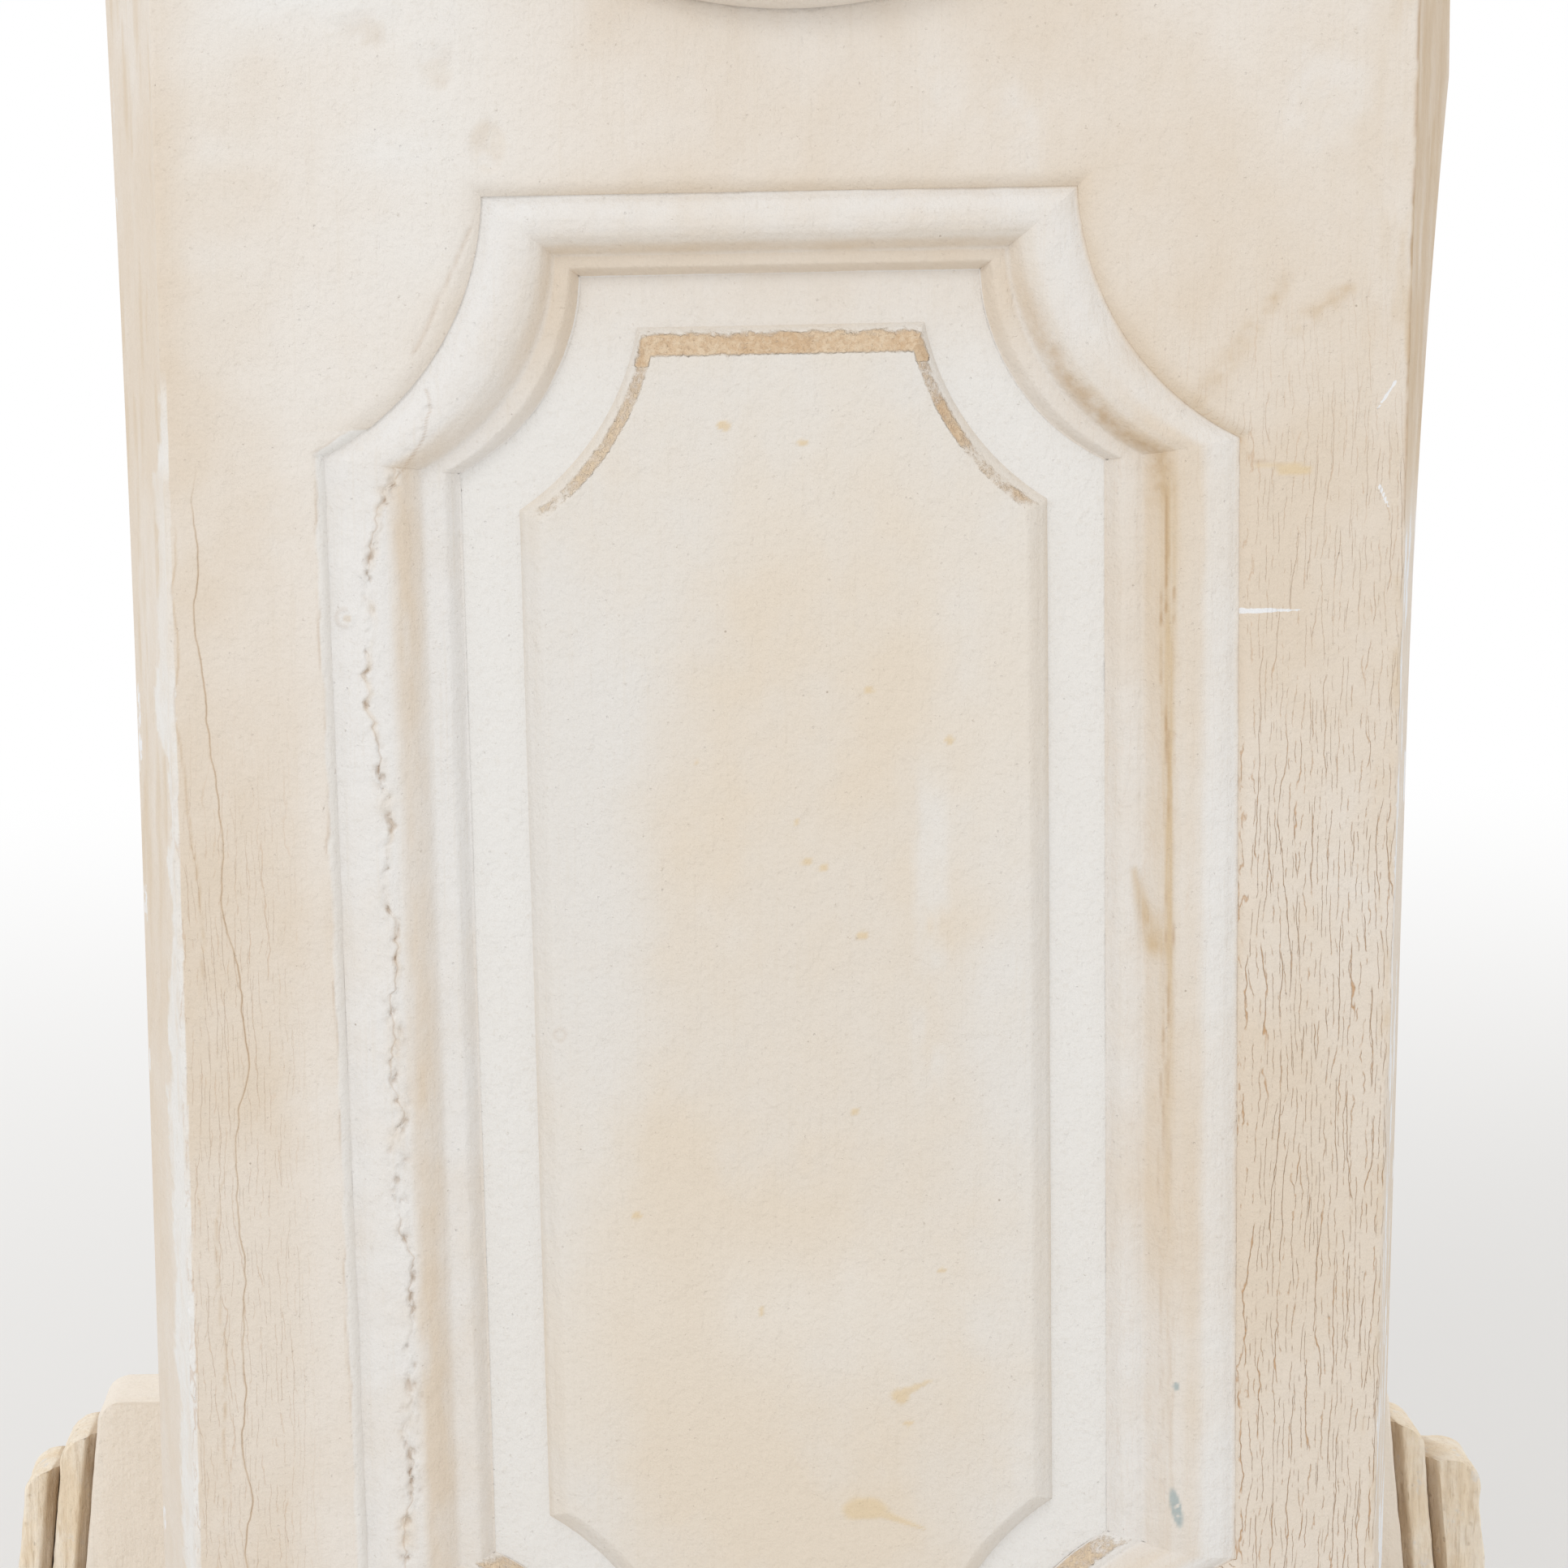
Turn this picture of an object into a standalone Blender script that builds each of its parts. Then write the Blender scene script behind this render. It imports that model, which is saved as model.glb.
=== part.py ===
"""Plaster master mould of a tapered console pedestal, in fibrous plaster on a timber back frame.

Metres, +Z up. The moulded face looks along -Y, +X is to its right, and the origin is at the bottom centre.
"""

import math

import bmesh
import bpy
from mathutils import Vector

# Whole object
HEIGHT = 0.690
DEPTH = 0.252
GAP = 0.0003

# Face casting: an upright front, with side returns that splay back and grow deeper towards the cap
FACE_Y = -0.111
FACE_HALF_WIDTH = 0.117
FACE_WALL = 0.022
RETURN_INNER = 0.1005
CASTING_LOW = 0.070
CASTING_HIGH = 0.620
RETURN_DEPTH = 0.050
SPLAY = math.tan(math.radians(14.0))
FLARE_START = 0.280
FLARE_RATE = 0.111
RIGHT_EXTRA = 0.0022
RIGHT_FOOT_HEIGHT = 0.080
RIGHT_FOOT_SHARE = 0.4
RIGHT_FLARE_START = 0.330
RIGHT_FLARE_END = 0.465
RIGHT_FLARE_RATE = 0.235
RIGHT_FLARE_LOSS = 0.75
CASTING_LEVELS = 14

# Sunk frame with scooped corners, planted a little askew on the face
FRAME_X = 0.0022
FRAME_Z = 0.2817
FRAME_TILT = math.radians(1.0)
FRAME_HALF_WIDTH = 0.0870
FRAME_HALF_HEIGHT = 0.1609
STILE_WIDTH = 0.0247
RAIL_WIDTH = 0.0153
SUNK_DEPTH = 0.0085
SCOOP_STEPS = 9

# Circles of the hollow corners: (centre across, centre up, radius), measured from the frame's middle
OUTER_SCOOP = (0.1120, 0.1630, 0.0560)
INNER_SCOOP = (0.0815, 0.1475, 0.0433)
FIELD_SCOOP = (0.0780, 0.1445, 0.0520)

# Frame moulding from its outer edge to its inner edge: (share of the width, depth below the face)
MOULDING = [
    (0.020, 0.0026),
    (0.060, 0.0020),
    (0.150, 0.0010),
    (0.280, 0.0004),
    (0.400, 0.0003),
    (0.500, 0.0008),
    (0.600, 0.0021),
    (0.680, 0.0038),
    (0.740, 0.0052),
    (0.780, 0.0050),
    (0.900, 0.0052),
    (0.955, 0.0066),
    (0.980, 0.0074),
]

# Raised field inside the frame
FIELD_HALF_WIDTH = 0.0499
FIELD_HALF_HEIGHT = 0.1348
FIELD_SLOPE_SIDE = 0.0034
FIELD_SLOPE_TOP = 0.0046
FIELD_SLOPE_SCOOP = 0.0030
FIELD_EDGE_DEPTH = 0.0076
FIELD_DEPTH = 0.0045

# Oval boss over the frame
BOSS_Z = 0.532
BOSS_HALF_WIDTH = 0.070
BOSS_HALF_HEIGHT = 0.056
BOSS_RIM_WIDTH = 0.012
BOSS_RIM_HEIGHT = 0.0075
BOSS_DOME_HEIGHT = 0.013
BOSS_EDGE = 0.0015
BOSS_STEPS = 40

# Cap and plinth: (overhang, height) down or up each edge
CAP_HALF_WIDTH = 0.146
CAP_BACK = 0.1115
ASTRAGAL_HIGH = 0.634
COVE_HIGH = 0.664
CAP_FACE = FACE_Y - 0.003
CAP_OVERHANG = 0.012
PLINTH_HALF_WIDTH = 0.1305
PLINTH_FACE = FACE_Y - 0.003
PLINTH_BACK = 0.0910
PLINTH_STEP_HIGH = 0.054
PLINTH_OVERHANG = 0.008

# Side cheeks behind the casting
CHEEK_OUTER = 0.118
CHEEK_THICKNESS = 0.012
CHEEK_BACK = 0.1203
CHEEK_SINKING = 0.003

# Stepped rear flanges: a block and two curved ribs on each side, spreading towards the floor
FLANGE_FRONT = 0.104
FLANGE_SPREAD = 0.110
BLOCK_HIGH = 0.129
BLOCK_ROUND = 0.005
RIB_GAP = 0.0022
RIB_ROUND = 0.006
RIB_SETBACK = 0.0015
# Each flange: how far down it spreads, its block's edge and height, and each rib's thickness and height
FLANGES = {
    "left": (0.000, 0.1670, 0.1317, ((0.0068, 0.1215), (0.0068, 0.1125))),
    "right": (0.063, 0.1690, 0.1317, ((0.0066, 0.1190), (0.0120, 0.1090))),
}
ARC_STEPS = 5

# Timber back frame, its plaster-soaked jute wads and its screws
STILE_OUTER = CHEEK_OUTER - CHEEK_THICKNESS - GAP
STILE_FACE_WIDTH = 0.030
TIMBER_THICKNESS = 0.022
STILE_FRONT = 0.094
STILE_HIGH = 0.612
RAIL_HEIGHT = 0.034
RAIL_CENTRES = (0.125, 0.345, 0.565)
WAD_CENTRES = (0.200, 0.270, 0.430, 0.500)
WAD_HEIGHT = 0.042
WAD_THICKNESS = 0.0052
SCREW_RADIUS = 0.0021
SCREW_HEAD_RADIUS = 0.0044
SCREW_LENGTH = 0.036
SCREW_SIDES = 12

# Lining behind the casting's face
SCRIM_THICKNESS = 0.0016
SCRIM_HALF_WIDTH = 0.0985
SCRIM_LOW = 0.085
SCRIM_HIGH = 0.606
LATH_WIDTH = 0.026
LATH_THICKNESS = 0.0065
LATH_CENTRES = (0.175, 0.400)
UPRIGHT_LATH_X = 0.080


def clear_scene():
    for item in list(bpy.data.objects):
        bpy.data.objects.remove(item, do_unlink=True)


def material(name, colour, roughness, metallic=0.0):
    made = bpy.data.materials.new(name)
    made.use_nodes = True
    shader = made.node_tree.nodes["Principled BSDF"]
    shader.inputs["Base Color"].default_value = (*colour, 1.0)
    shader.inputs["Roughness"].default_value = roughness
    shader.inputs["Metallic"].default_value = metallic
    return made


def add_object(name, mesh_data, finish, smooth_angle=None):
    """Turns a bmesh into a named object with its own copy of a finish."""
    bmesh.ops.recalc_face_normals(mesh_data, faces=mesh_data.faces)
    mesh = bpy.data.meshes.new(name)
    mesh_data.to_mesh(mesh)
    mesh_data.free()
    if smooth_angle is not None:
        mesh.shade_smooth()
        mesh.set_sharp_from_angle(angle=math.radians(smooth_angle))
    made = bpy.data.objects.new(name, mesh)
    bpy.context.scene.collection.objects.link(made)
    own = FINISHES[finish].copy()
    own.name = name + "_" + finish
    mesh.materials.append(own)
    return made


def add_rings(mesh_data, rings):
    """Skins a row of closed rings that all have the same number of points, and caps both ends."""
    rows = [[mesh_data.verts.new(point) for point in ring] for ring in rings]
    count = len(rings[0])
    for first, second in zip(rows, rows[1:]):
        for index in range(count):
            after = (index + 1) % count
            mesh_data.faces.new((first[index], first[after], second[after], second[index]))
    mesh_data.faces.new(rows[0])
    mesh_data.faces.new(rows[-1])


def loft(name, rings, finish, smooth_angle=None):
    mesh_data = bmesh.new()
    add_rings(mesh_data, rings)
    return add_object(name, mesh_data, finish, smooth_angle)


def box(name, low, high, finish):
    corners = [(low[0], low[1]), (high[0], low[1]), (high[0], high[1]), (low[0], high[1])]
    return loft(name, [[(x, y, z) for x, y in corners] for z in (low[2], high[2])], finish)


def prism_y(name, outline, front, back, finish, smooth_angle=None):
    """An outline in X and Z, carried from front to back."""
    return loft(name, [[(x, y, z) for x, z in outline] for y in (front, back)], finish, smooth_angle)


def cut(made, cutter):
    cutter.hide_render = True
    cutter.display_type = "WIRE"
    boolean = made.modifiers.new(cutter.name, "BOOLEAN")
    boolean.operation = "DIFFERENCE"
    boolean.solver = "EXACT"
    boolean.object = cutter


def return_depth(z):
    """How far the casting's side return reaches back at a height."""
    flare = FLARE_RATE * max(0.0, z - FLARE_START) ** 2
    return RETURN_DEPTH + flare / SPLAY


def levels(low, high, count):
    return [low + (high - low) * index / (count - 1) for index in range(count)]


# ---------------------------------------------------------------- sunk frame


def scoop(corner, half_width, half_height, circle, trim=0.0):
    """Points of one hollow corner, clockwise from the front; corner 0 is top left, then clockwise."""
    centre_across, centre_up, radius = circle
    start = math.asin((centre_across - half_width) / radius) + trim / radius
    end = math.acos((centre_up - half_height) / radius) - trim / radius
    points = []
    for step in range(SCOOP_STEPS + 1):
        angle = start + (end - start) * step / SCOOP_STEPS
        points.append((centre_across - radius * math.sin(angle), centre_up - radius * math.cos(angle)))
    signs = [(-1, 1), (1, 1), (1, -1), (-1, -1)][corner]
    placed = [(signs[0] * across, signs[1] * up) for across, up in points]
    return placed[::-1] if corner % 2 else placed


def scooped_outline(half_width, half_height, circle):
    return [point for corner in range(4) for point in scoop(corner, half_width, half_height, circle)]


def on_face(across, up, depth):
    """A point of the askew frame, at a depth below the face."""
    x = FRAME_X + across * math.cos(FRAME_TILT) - up * math.sin(FRAME_TILT)
    z = FRAME_Z + across * math.sin(FRAME_TILT) + up * math.cos(FRAME_TILT)
    return (x, FACE_Y + depth, z)


def frame_size(share):
    """Half width, half height and scoop circle of the frame's outline at a share of the moulding's width."""
    circle = tuple(outer + share * (inner - outer) for outer, inner in zip(OUTER_SCOOP, INNER_SCOOP))
    return FRAME_HALF_WIDTH - share * STILE_WIDTH, FRAME_HALF_HEIGHT - share * RAIL_WIDTH, circle


def moulding_sections(stations):
    """Closed sections of the moulding; stations(share) gives the points along one line of it."""
    bed = SUNK_DEPTH - GAP
    profile = MOULDING + [(MOULDING[-1][0], bed), (MOULDING[0][0], bed)]
    lines = [(stations(share), depth) for share, depth in profile]
    count = len(lines[0][0])
    return [[on_face(*line[index], depth) for line, depth in lines] for index in range(count)]


def scoop_stations(corner):
    def stations(share):
        return scoop(corner, *frame_size(share), trim=GAP)

    return stations


def length_stations(corner):
    """The straight length that follows a corner."""

    def stations(share):
        first = Vector(scoop(corner, *frame_size(share))[-1])
        last = Vector(scoop((corner + 1) % 4, *frame_size(share))[0])
        step = (last - first).normalized() * GAP
        return [tuple(first + step), tuple(last - step)]

    return stations


def make_frame():
    corners = ("top_left", "top_right", "bottom_right", "bottom_left")
    lengths = ("top", "right", "bottom", "left")
    for corner, (corner_name, length_name) in enumerate(zip(corners, lengths)):
        loft("frame_scoop_" + corner_name, moulding_sections(scoop_stations(corner)), "paint", 30.0)
        loft("frame_" + length_name, moulding_sections(length_stations(corner)), "paint", 30.0)


def make_inner_panel():
    across, up, radius = FIELD_SCOOP
    base = scooped_outline(FIELD_HALF_WIDTH, FIELD_HALF_HEIGHT, FIELD_SCOOP)
    top = scooped_outline(
        FIELD_HALF_WIDTH - FIELD_SLOPE_SIDE,
        FIELD_HALF_HEIGHT - FIELD_SLOPE_TOP,
        (across, up, radius + FIELD_SLOPE_SCOOP),
    )
    rings = [
        [on_face(*point, SUNK_DEPTH - GAP) for point in base],
        [on_face(*point, FIELD_EDGE_DEPTH) for point in base],
        [on_face(*point, FIELD_DEPTH) for point in top],
    ]
    loft("inner_panel", rings, "paint")


# -------------------------------------------------------------- face casting


def right_extra(z):
    """How much further out than on the left the right arris and the right return's back edge stand."""
    foot = min(1.0, (z - CASTING_LOW) / RIGHT_FOOT_HEIGHT)
    arris = RIGHT_EXTRA * (RIGHT_FOOT_SHARE + (1.0 - RIGHT_FOOT_SHARE) * foot)
    climb = max(0.0, min(z, RIGHT_FLARE_END) - RIGHT_FLARE_START)
    fade = max(0.0, z - RIGHT_FLARE_END) / (CASTING_HIGH - RIGHT_FLARE_END)
    return arris, arris + RIGHT_FLARE_RATE * climb**2 * (1.0 - RIGHT_FLARE_LOSS * fade)


def casting_ring(z):
    """Plan of the casting at a height: a U open to the rear, with splayed outer sides."""
    back = FACE_Y + return_depth(z)
    outer = FACE_HALF_WIDTH + return_depth(z) * SPLAY
    wall = FACE_Y + FACE_WALL
    arris, edge = right_extra(z)
    right = [(FACE_HALF_WIDTH + arris, FACE_Y), (outer + edge, back)]
    right += [(RETURN_INNER, back), (RETURN_INNER, wall)]
    left = [(-RETURN_INNER, wall), (-RETURN_INNER, back), (-outer, back), (-FACE_HALF_WIDTH, FACE_Y)]
    return [(x, y, z) for x, y in right + left]


def make_front_casting():
    rings = [casting_ring(z) for z in levels(CASTING_LOW + GAP, CASTING_HIGH, CASTING_LEVELS)]
    casting = loft("front_casting", rings, "paint", 20.0)
    outline = scooped_outline(*frame_size(0.0))
    front = [on_face(*point, -SUNK_DEPTH) for point in outline]
    floor = [on_face(*point, SUNK_DEPTH) for point in outline]
    cut(casting, loft("frame_sinking", [front, floor], "paint"))
    return casting


def ellipse(half_width, half_height, y):
    turns = [2.0 * math.pi * step / BOSS_STEPS for step in range(BOSS_STEPS)]
    return [(half_width * math.cos(turn), y, BOSS_Z + half_height * math.sin(turn)) for turn in turns]


def make_boss():
    """A crowned oval with a rounded rim, cast in one."""
    seat = FACE_Y - GAP
    middle = BOSS_RIM_WIDTH / 2
    rings = [ellipse(BOSS_HALF_WIDTH, BOSS_HALF_HEIGHT, seat)]
    for step in range(7):
        angle = math.pi * step / 6
        inset = middle - middle * math.cos(angle)
        rise = BOSS_EDGE + (BOSS_RIM_HEIGHT - BOSS_EDGE) * math.sin(angle)
        rings.append(ellipse(BOSS_HALF_WIDTH - inset, BOSS_HALF_HEIGHT - inset, seat - rise))
    across = BOSS_HALF_WIDTH - BOSS_RIM_WIDTH
    up = BOSS_HALF_HEIGHT - BOSS_RIM_WIDTH
    for step in range(1, 8):
        angle = 0.5 * math.pi * step / 8
        share = math.cos(angle)
        rise = BOSS_EDGE + (BOSS_DOME_HEIGHT - BOSS_EDGE) * math.sin(angle)
        rings.append(ellipse(across * share, up * share, seat - rise))
    loft("boss", rings, "paint", 40.0)


# ----------------------------------------------------- cap, plinth and cheeks


def moulded_plate(name, half_width, front, back, profile):
    """A plate whose front and sides follow a profile of (overhang, height); its back is flat."""
    rings = []
    for overhang, z in profile:
        x = half_width + overhang
        rings.append([(-x, front - overhang, z), (x, front - overhang, z), (x, back, z), (-x, back, z)])
    return loft(name, rings, "paint", 30.0)


def quarter(start, end, steps, hollow):
    """Points of a quarter round between two (overhang, height) corners."""
    points = []
    for step in range(steps + 1):
        angle = 0.5 * math.pi * step / steps
        along = 1.0 - math.cos(angle) if hollow else math.sin(angle)
        rise = math.sin(angle) if hollow else 1.0 - math.cos(angle)
        points.append((start[0] + (end[0] - start[0]) * along, start[1] + (end[1] - start[1]) * rise))
    return points


def make_cap():
    low = CASTING_HIGH + GAP
    middle = (low + ASTRAGAL_HIGH) / 2
    nose = (ASTRAGAL_HIGH - low) / 2
    bead = []
    for step in range(7):
        angle = math.pi * (step / 6 - 0.5)
        bead.append((nose * 0.7 * math.cos(angle), middle + nose * math.sin(angle)))
    moulded_plate("cap_astragal", CAP_HALF_WIDTH, CAP_FACE, CAP_BACK, bead)

    cove_low = ASTRAGAL_HIGH + GAP
    fillet = 0.004
    cove = [(-0.003, cove_low), (-0.003, cove_low + fillet)]
    cove += quarter((-0.003, cove_low + fillet), (0.008, COVE_HIGH - fillet), 6, True)[1:]
    cove += [(0.009, COVE_HIGH - fillet), (0.009, COVE_HIGH)]
    moulded_plate("cap_cove", CAP_HALF_WIDTH, CAP_FACE, CAP_BACK, cove)

    slab_low = COVE_HIGH + GAP
    edge = 0.003
    slab = [(CAP_OVERHANG - edge, slab_low), (CAP_OVERHANG, slab_low + edge)]
    slab += [(CAP_OVERHANG, HEIGHT - edge), (CAP_OVERHANG - edge, HEIGHT)]
    moulded_plate("cap_slab", CAP_HALF_WIDTH, CAP_FACE, CAP_BACK, slab)


def make_plinth():
    edge = 0.003
    block = [(PLINTH_OVERHANG - edge, 0.0), (PLINTH_OVERHANG, edge)]
    block += [(PLINTH_OVERHANG, PLINTH_STEP_HIGH - edge), (PLINTH_OVERHANG - edge, PLINTH_STEP_HIGH)]
    moulded_plate("plinth_block", PLINTH_HALF_WIDTH, PLINTH_FACE, PLINTH_BACK, block)
    low = PLINTH_STEP_HIGH + GAP
    step = [(0.0045, low), (0.0045, low + 0.004)]
    step += quarter((0.0045, low + 0.004), (0.0, CASTING_LOW), 5, False)[1:]
    moulded_plate("plinth_moulding", PLINTH_HALF_WIDTH, PLINTH_FACE, PLINTH_BACK, step)


def make_cheek(side, sign):
    front = [(FACE_Y + return_depth(z) + GAP, z) for z in levels(CASTING_LOW + GAP, CASTING_HIGH, CASTING_LEVELS)]
    outline = front + [(CHEEK_BACK, CASTING_HIGH), (CHEEK_BACK, CASTING_LOW + GAP)]
    faces = (sign * CHEEK_OUTER, sign * (CHEEK_OUTER - CHEEK_THICKNESS))
    cheek = loft("cheek_" + side, [[(x, y, z) for y, z in outline] for x in faces], "paint")
    margin = 0.024
    corner = 0.016
    low = (FACE_Y + return_depth(CASTING_HIGH) + margin, BLOCK_HIGH + margin)
    high = (CHEEK_BACK - margin, CASTING_HIGH - margin)
    sunk = []
    for index in range(4):
        centre = (low[0] if index in (0, 3) else high[0], low[1] if index < 2 else high[1])
        for step in range(ARC_STEPS + 1):
            turn = 0.5 * math.pi * (1 - step / ARC_STEPS + index)
            sunk.append((centre[0] + corner * math.cos(turn), centre[1] + corner * math.sin(turn)))
    depths = (sign * (CHEEK_OUTER + CHEEK_SINKING), sign * (CHEEK_OUTER - CHEEK_SINKING))
    cut(cheek, loft("cheek_sinking_" + side, [[(x, y, z) for y, z in sunk] for x in depths], "paint"))


# -------------------------------------------------------------- rear flanges


def spread(z, low):
    """How far a flange edge has moved out below its top."""
    return FLANGE_SPREAD * (BLOCK_HIGH - max(z, low))


def rib_outline(inner, outer, high, radius, low, sign):
    """Outline in X and Z of one flange layer: its edges spread downwards and its outer top corner is round."""
    heights = levels(0.0, high - radius, 5)
    edge = [(outer + spread(z, low), z) for z in heights]
    centre = (outer + spread(high - radius, low) - radius, high - radius)
    arc = []
    for step in range(1, ARC_STEPS + 1):
        angle = 0.5 * math.pi * step / ARC_STEPS
        arc.append((centre[0] + radius * math.cos(angle), centre[1] + radius * math.sin(angle)))
    if inner is None:
        back = [(CHEEK_OUTER + GAP, high), (CHEEK_OUTER + GAP, 0.0)]
    else:
        back = [(inner + spread(z, low), z) for z in levels(high, 0.0, 5)]
    return [(sign * x, z) for x, z in edge + arc + back]


def make_flange(side, sign):
    back = DEPTH / 2
    low, block_edge, block_high, ribs = FLANGES[side]
    block = rib_outline(None, block_edge, block_high, BLOCK_ROUND, low, sign)
    prism_y("flange_block_" + side, block, FLANGE_FRONT, back, "paint", 30.0)
    inner = block_edge + RIB_GAP
    for name, (thickness, high) in zip(("flange_rib_inner_", "flange_rib_outer_"), ribs):
        rib = rib_outline(inner, inner + thickness, high, RIB_ROUND, low, sign)
        prism_y(name + side, rib, FLANGE_FRONT + RIB_SETBACK, back, "raw_plaster", 30.0)
        inner += thickness + RIB_GAP


# ------------------------------------------------------------ timber back frame


def cylinder(mesh_data, centre, radii_and_y):
    """A turned shape about a Y axis, through a row of (radius, y)."""
    rings = []
    for radius, y in radii_and_y:
        turns = [2.0 * math.pi * step / SCREW_SIDES for step in range(SCREW_SIDES)]
        rings.append([(centre[0] + radius * math.cos(t), y, centre[1] + radius * math.sin(t)) for t in turns])
    add_rings(mesh_data, rings)


def screw_places():
    middle = STILE_OUTER - STILE_FACE_WIDTH / 2
    return [(sign * middle, z) for z in RAIL_CENTRES for sign in (-1, 1)]


def screw_profile(grow):
    """Shank and countersunk head, thicker all over by grow; a hole also runs out of the timber."""
    back = STILE_FRONT + TIMBER_THICKNESS
    head = back - GAP - grow
    neck = head - (SCREW_HEAD_RADIUS - SCREW_RADIUS)
    tip = back - SCREW_LENGTH - grow
    profile = [(SCREW_RADIUS + grow, tip), (SCREW_RADIUS + grow, neck), (SCREW_HEAD_RADIUS + grow, head)]
    if grow:
        profile.append((SCREW_HEAD_RADIUS + grow, back + TIMBER_THICKNESS))
    return profile


def screws(name, places, grow):
    mesh_data = bmesh.new()
    for place in places:
        cylinder(mesh_data, place, screw_profile(grow))
    return add_object(name, mesh_data, "steel", 40.0)


def make_back_frame():
    holes = screws("screw_holes", screw_places(), GAP)
    stile_back = STILE_FRONT + TIMBER_THICKNESS
    for side, sign in (("left", -1), ("right", 1)):
        xs = sorted((sign * STILE_OUTER, sign * (STILE_OUTER - STILE_FACE_WIDTH)))
        stile = box("back_stile_" + side, (xs[0], STILE_FRONT, 0.0), (xs[1], stile_back, STILE_HIGH), "timber")
        cut(stile, holes)
    rail_back = STILE_FRONT - GAP
    for name, z in zip(("bottom", "middle", "top"), RAIL_CENTRES):
        low = (-STILE_OUTER, rail_back - TIMBER_THICKNESS, z - RAIL_HEIGHT / 2)
        high = (STILE_OUTER, rail_back, z + RAIL_HEIGHT / 2)
        cut(box("back_rail_" + name, low, high, "timber"), holes)
    for number, place in enumerate(screw_places(), 1):
        screws("rail_screw_" + str(number), [place], 0.0)


def make_wads():
    """Straps of plaster-soaked jute that lap round each stile and bed on the cheek."""
    inner = STILE_OUTER - STILE_FACE_WIDTH - GAP
    front = STILE_FRONT - GAP
    back = STILE_FRONT + TIMBER_THICKNESS + GAP
    edge = 0.0025
    outer = inner - WAD_THICKNESS
    strap = [
        (STILE_OUTER, back),
        (inner, back),
        (inner, front),
        (STILE_OUTER, front),
        (STILE_OUTER, front - WAD_THICKNESS),
        (outer + edge, front - WAD_THICKNESS),
        (outer, front - WAD_THICKNESS + edge),
        (outer, back + WAD_THICKNESS - edge),
        (outer + edge, back + WAD_THICKNESS),
        (STILE_OUTER, back + WAD_THICKNESS),
    ]
    for side, sign in (("left", -1), ("right", 1)):
        for number, z in enumerate(WAD_CENTRES, 1):
            rings = [[(sign * x, y, z + end * WAD_HEIGHT / 2) for x, y in strap] for end in (-1, 1)]
            loft("jute_wad_" + side + "_" + str(number), rings, "jute")


def make_lining():
    front = FACE_Y + FACE_WALL + GAP
    back = front + SCRIM_THICKNESS
    box("scrim_lining", (-SCRIM_HALF_WIDTH, front, SCRIM_LOW), (SCRIM_HALF_WIDTH, back, SCRIM_HIGH), "jute")
    lath_front = back + GAP
    lath_back = lath_front + LATH_THICKNESS
    for side, sign in (("left", -1), ("right", 1)):
        x = sign * UPRIGHT_LATH_X
        low = (x - LATH_WIDTH / 2, lath_front, SCRIM_LOW)
        box("lath_" + side, low, (x + LATH_WIDTH / 2, lath_back, SCRIM_HIGH), "timber")
    cross_front = lath_back + GAP
    reach = UPRIGHT_LATH_X + LATH_WIDTH / 2
    for name, z in zip(("lower", "upper"), LATH_CENTRES):
        low = (-reach, cross_front, z - LATH_WIDTH / 2)
        box("lath_" + name, low, (reach, cross_front + LATH_THICKNESS, z + LATH_WIDTH / 2), "timber")


clear_scene()
FINISHES = {
    "paint": material("paint", (0.80, 0.72, 0.61), 0.62),
    "raw_plaster": material("raw_plaster", (0.66, 0.56, 0.43), 0.85),
    "jute": material("jute", (0.47, 0.36, 0.22), 0.95),
    "timber": material("timber", (0.42, 0.28, 0.16), 0.75),
    "steel": material("steel", (0.30, 0.28, 0.26), 0.55, 0.8),
}
make_front_casting()
make_frame()
make_inner_panel()
make_boss()
make_cap()
make_plinth()
for side_name, side_sign in (("left", -1), ("right", 1)):
    make_cheek(side_name, side_sign)
    make_flange(side_name, side_sign)
make_back_frame()
make_wads()
make_lining()
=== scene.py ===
"""Looks of the plaster master mould of a console pedestal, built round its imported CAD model.

Metres, +Z up. The moulded face looks along -Y, +X is to its right, and the origin is at the bottom centre.
"""

import math

import bmesh
import bpy
import numpy as np
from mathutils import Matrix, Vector


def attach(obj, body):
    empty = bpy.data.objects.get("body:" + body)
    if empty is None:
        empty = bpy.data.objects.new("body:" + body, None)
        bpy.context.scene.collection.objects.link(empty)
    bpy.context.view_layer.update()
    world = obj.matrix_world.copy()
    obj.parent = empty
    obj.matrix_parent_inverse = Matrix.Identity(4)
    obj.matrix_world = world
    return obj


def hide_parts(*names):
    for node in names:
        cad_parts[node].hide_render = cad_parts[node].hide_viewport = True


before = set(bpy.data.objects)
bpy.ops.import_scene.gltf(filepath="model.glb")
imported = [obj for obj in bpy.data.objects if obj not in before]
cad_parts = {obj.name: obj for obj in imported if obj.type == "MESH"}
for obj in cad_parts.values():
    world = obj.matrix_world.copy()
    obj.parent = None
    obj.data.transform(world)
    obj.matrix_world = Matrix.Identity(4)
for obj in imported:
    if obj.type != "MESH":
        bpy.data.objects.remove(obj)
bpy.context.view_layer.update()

# ------------------------------------------------------------------ dimensions, the same as the CAD part's

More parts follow.
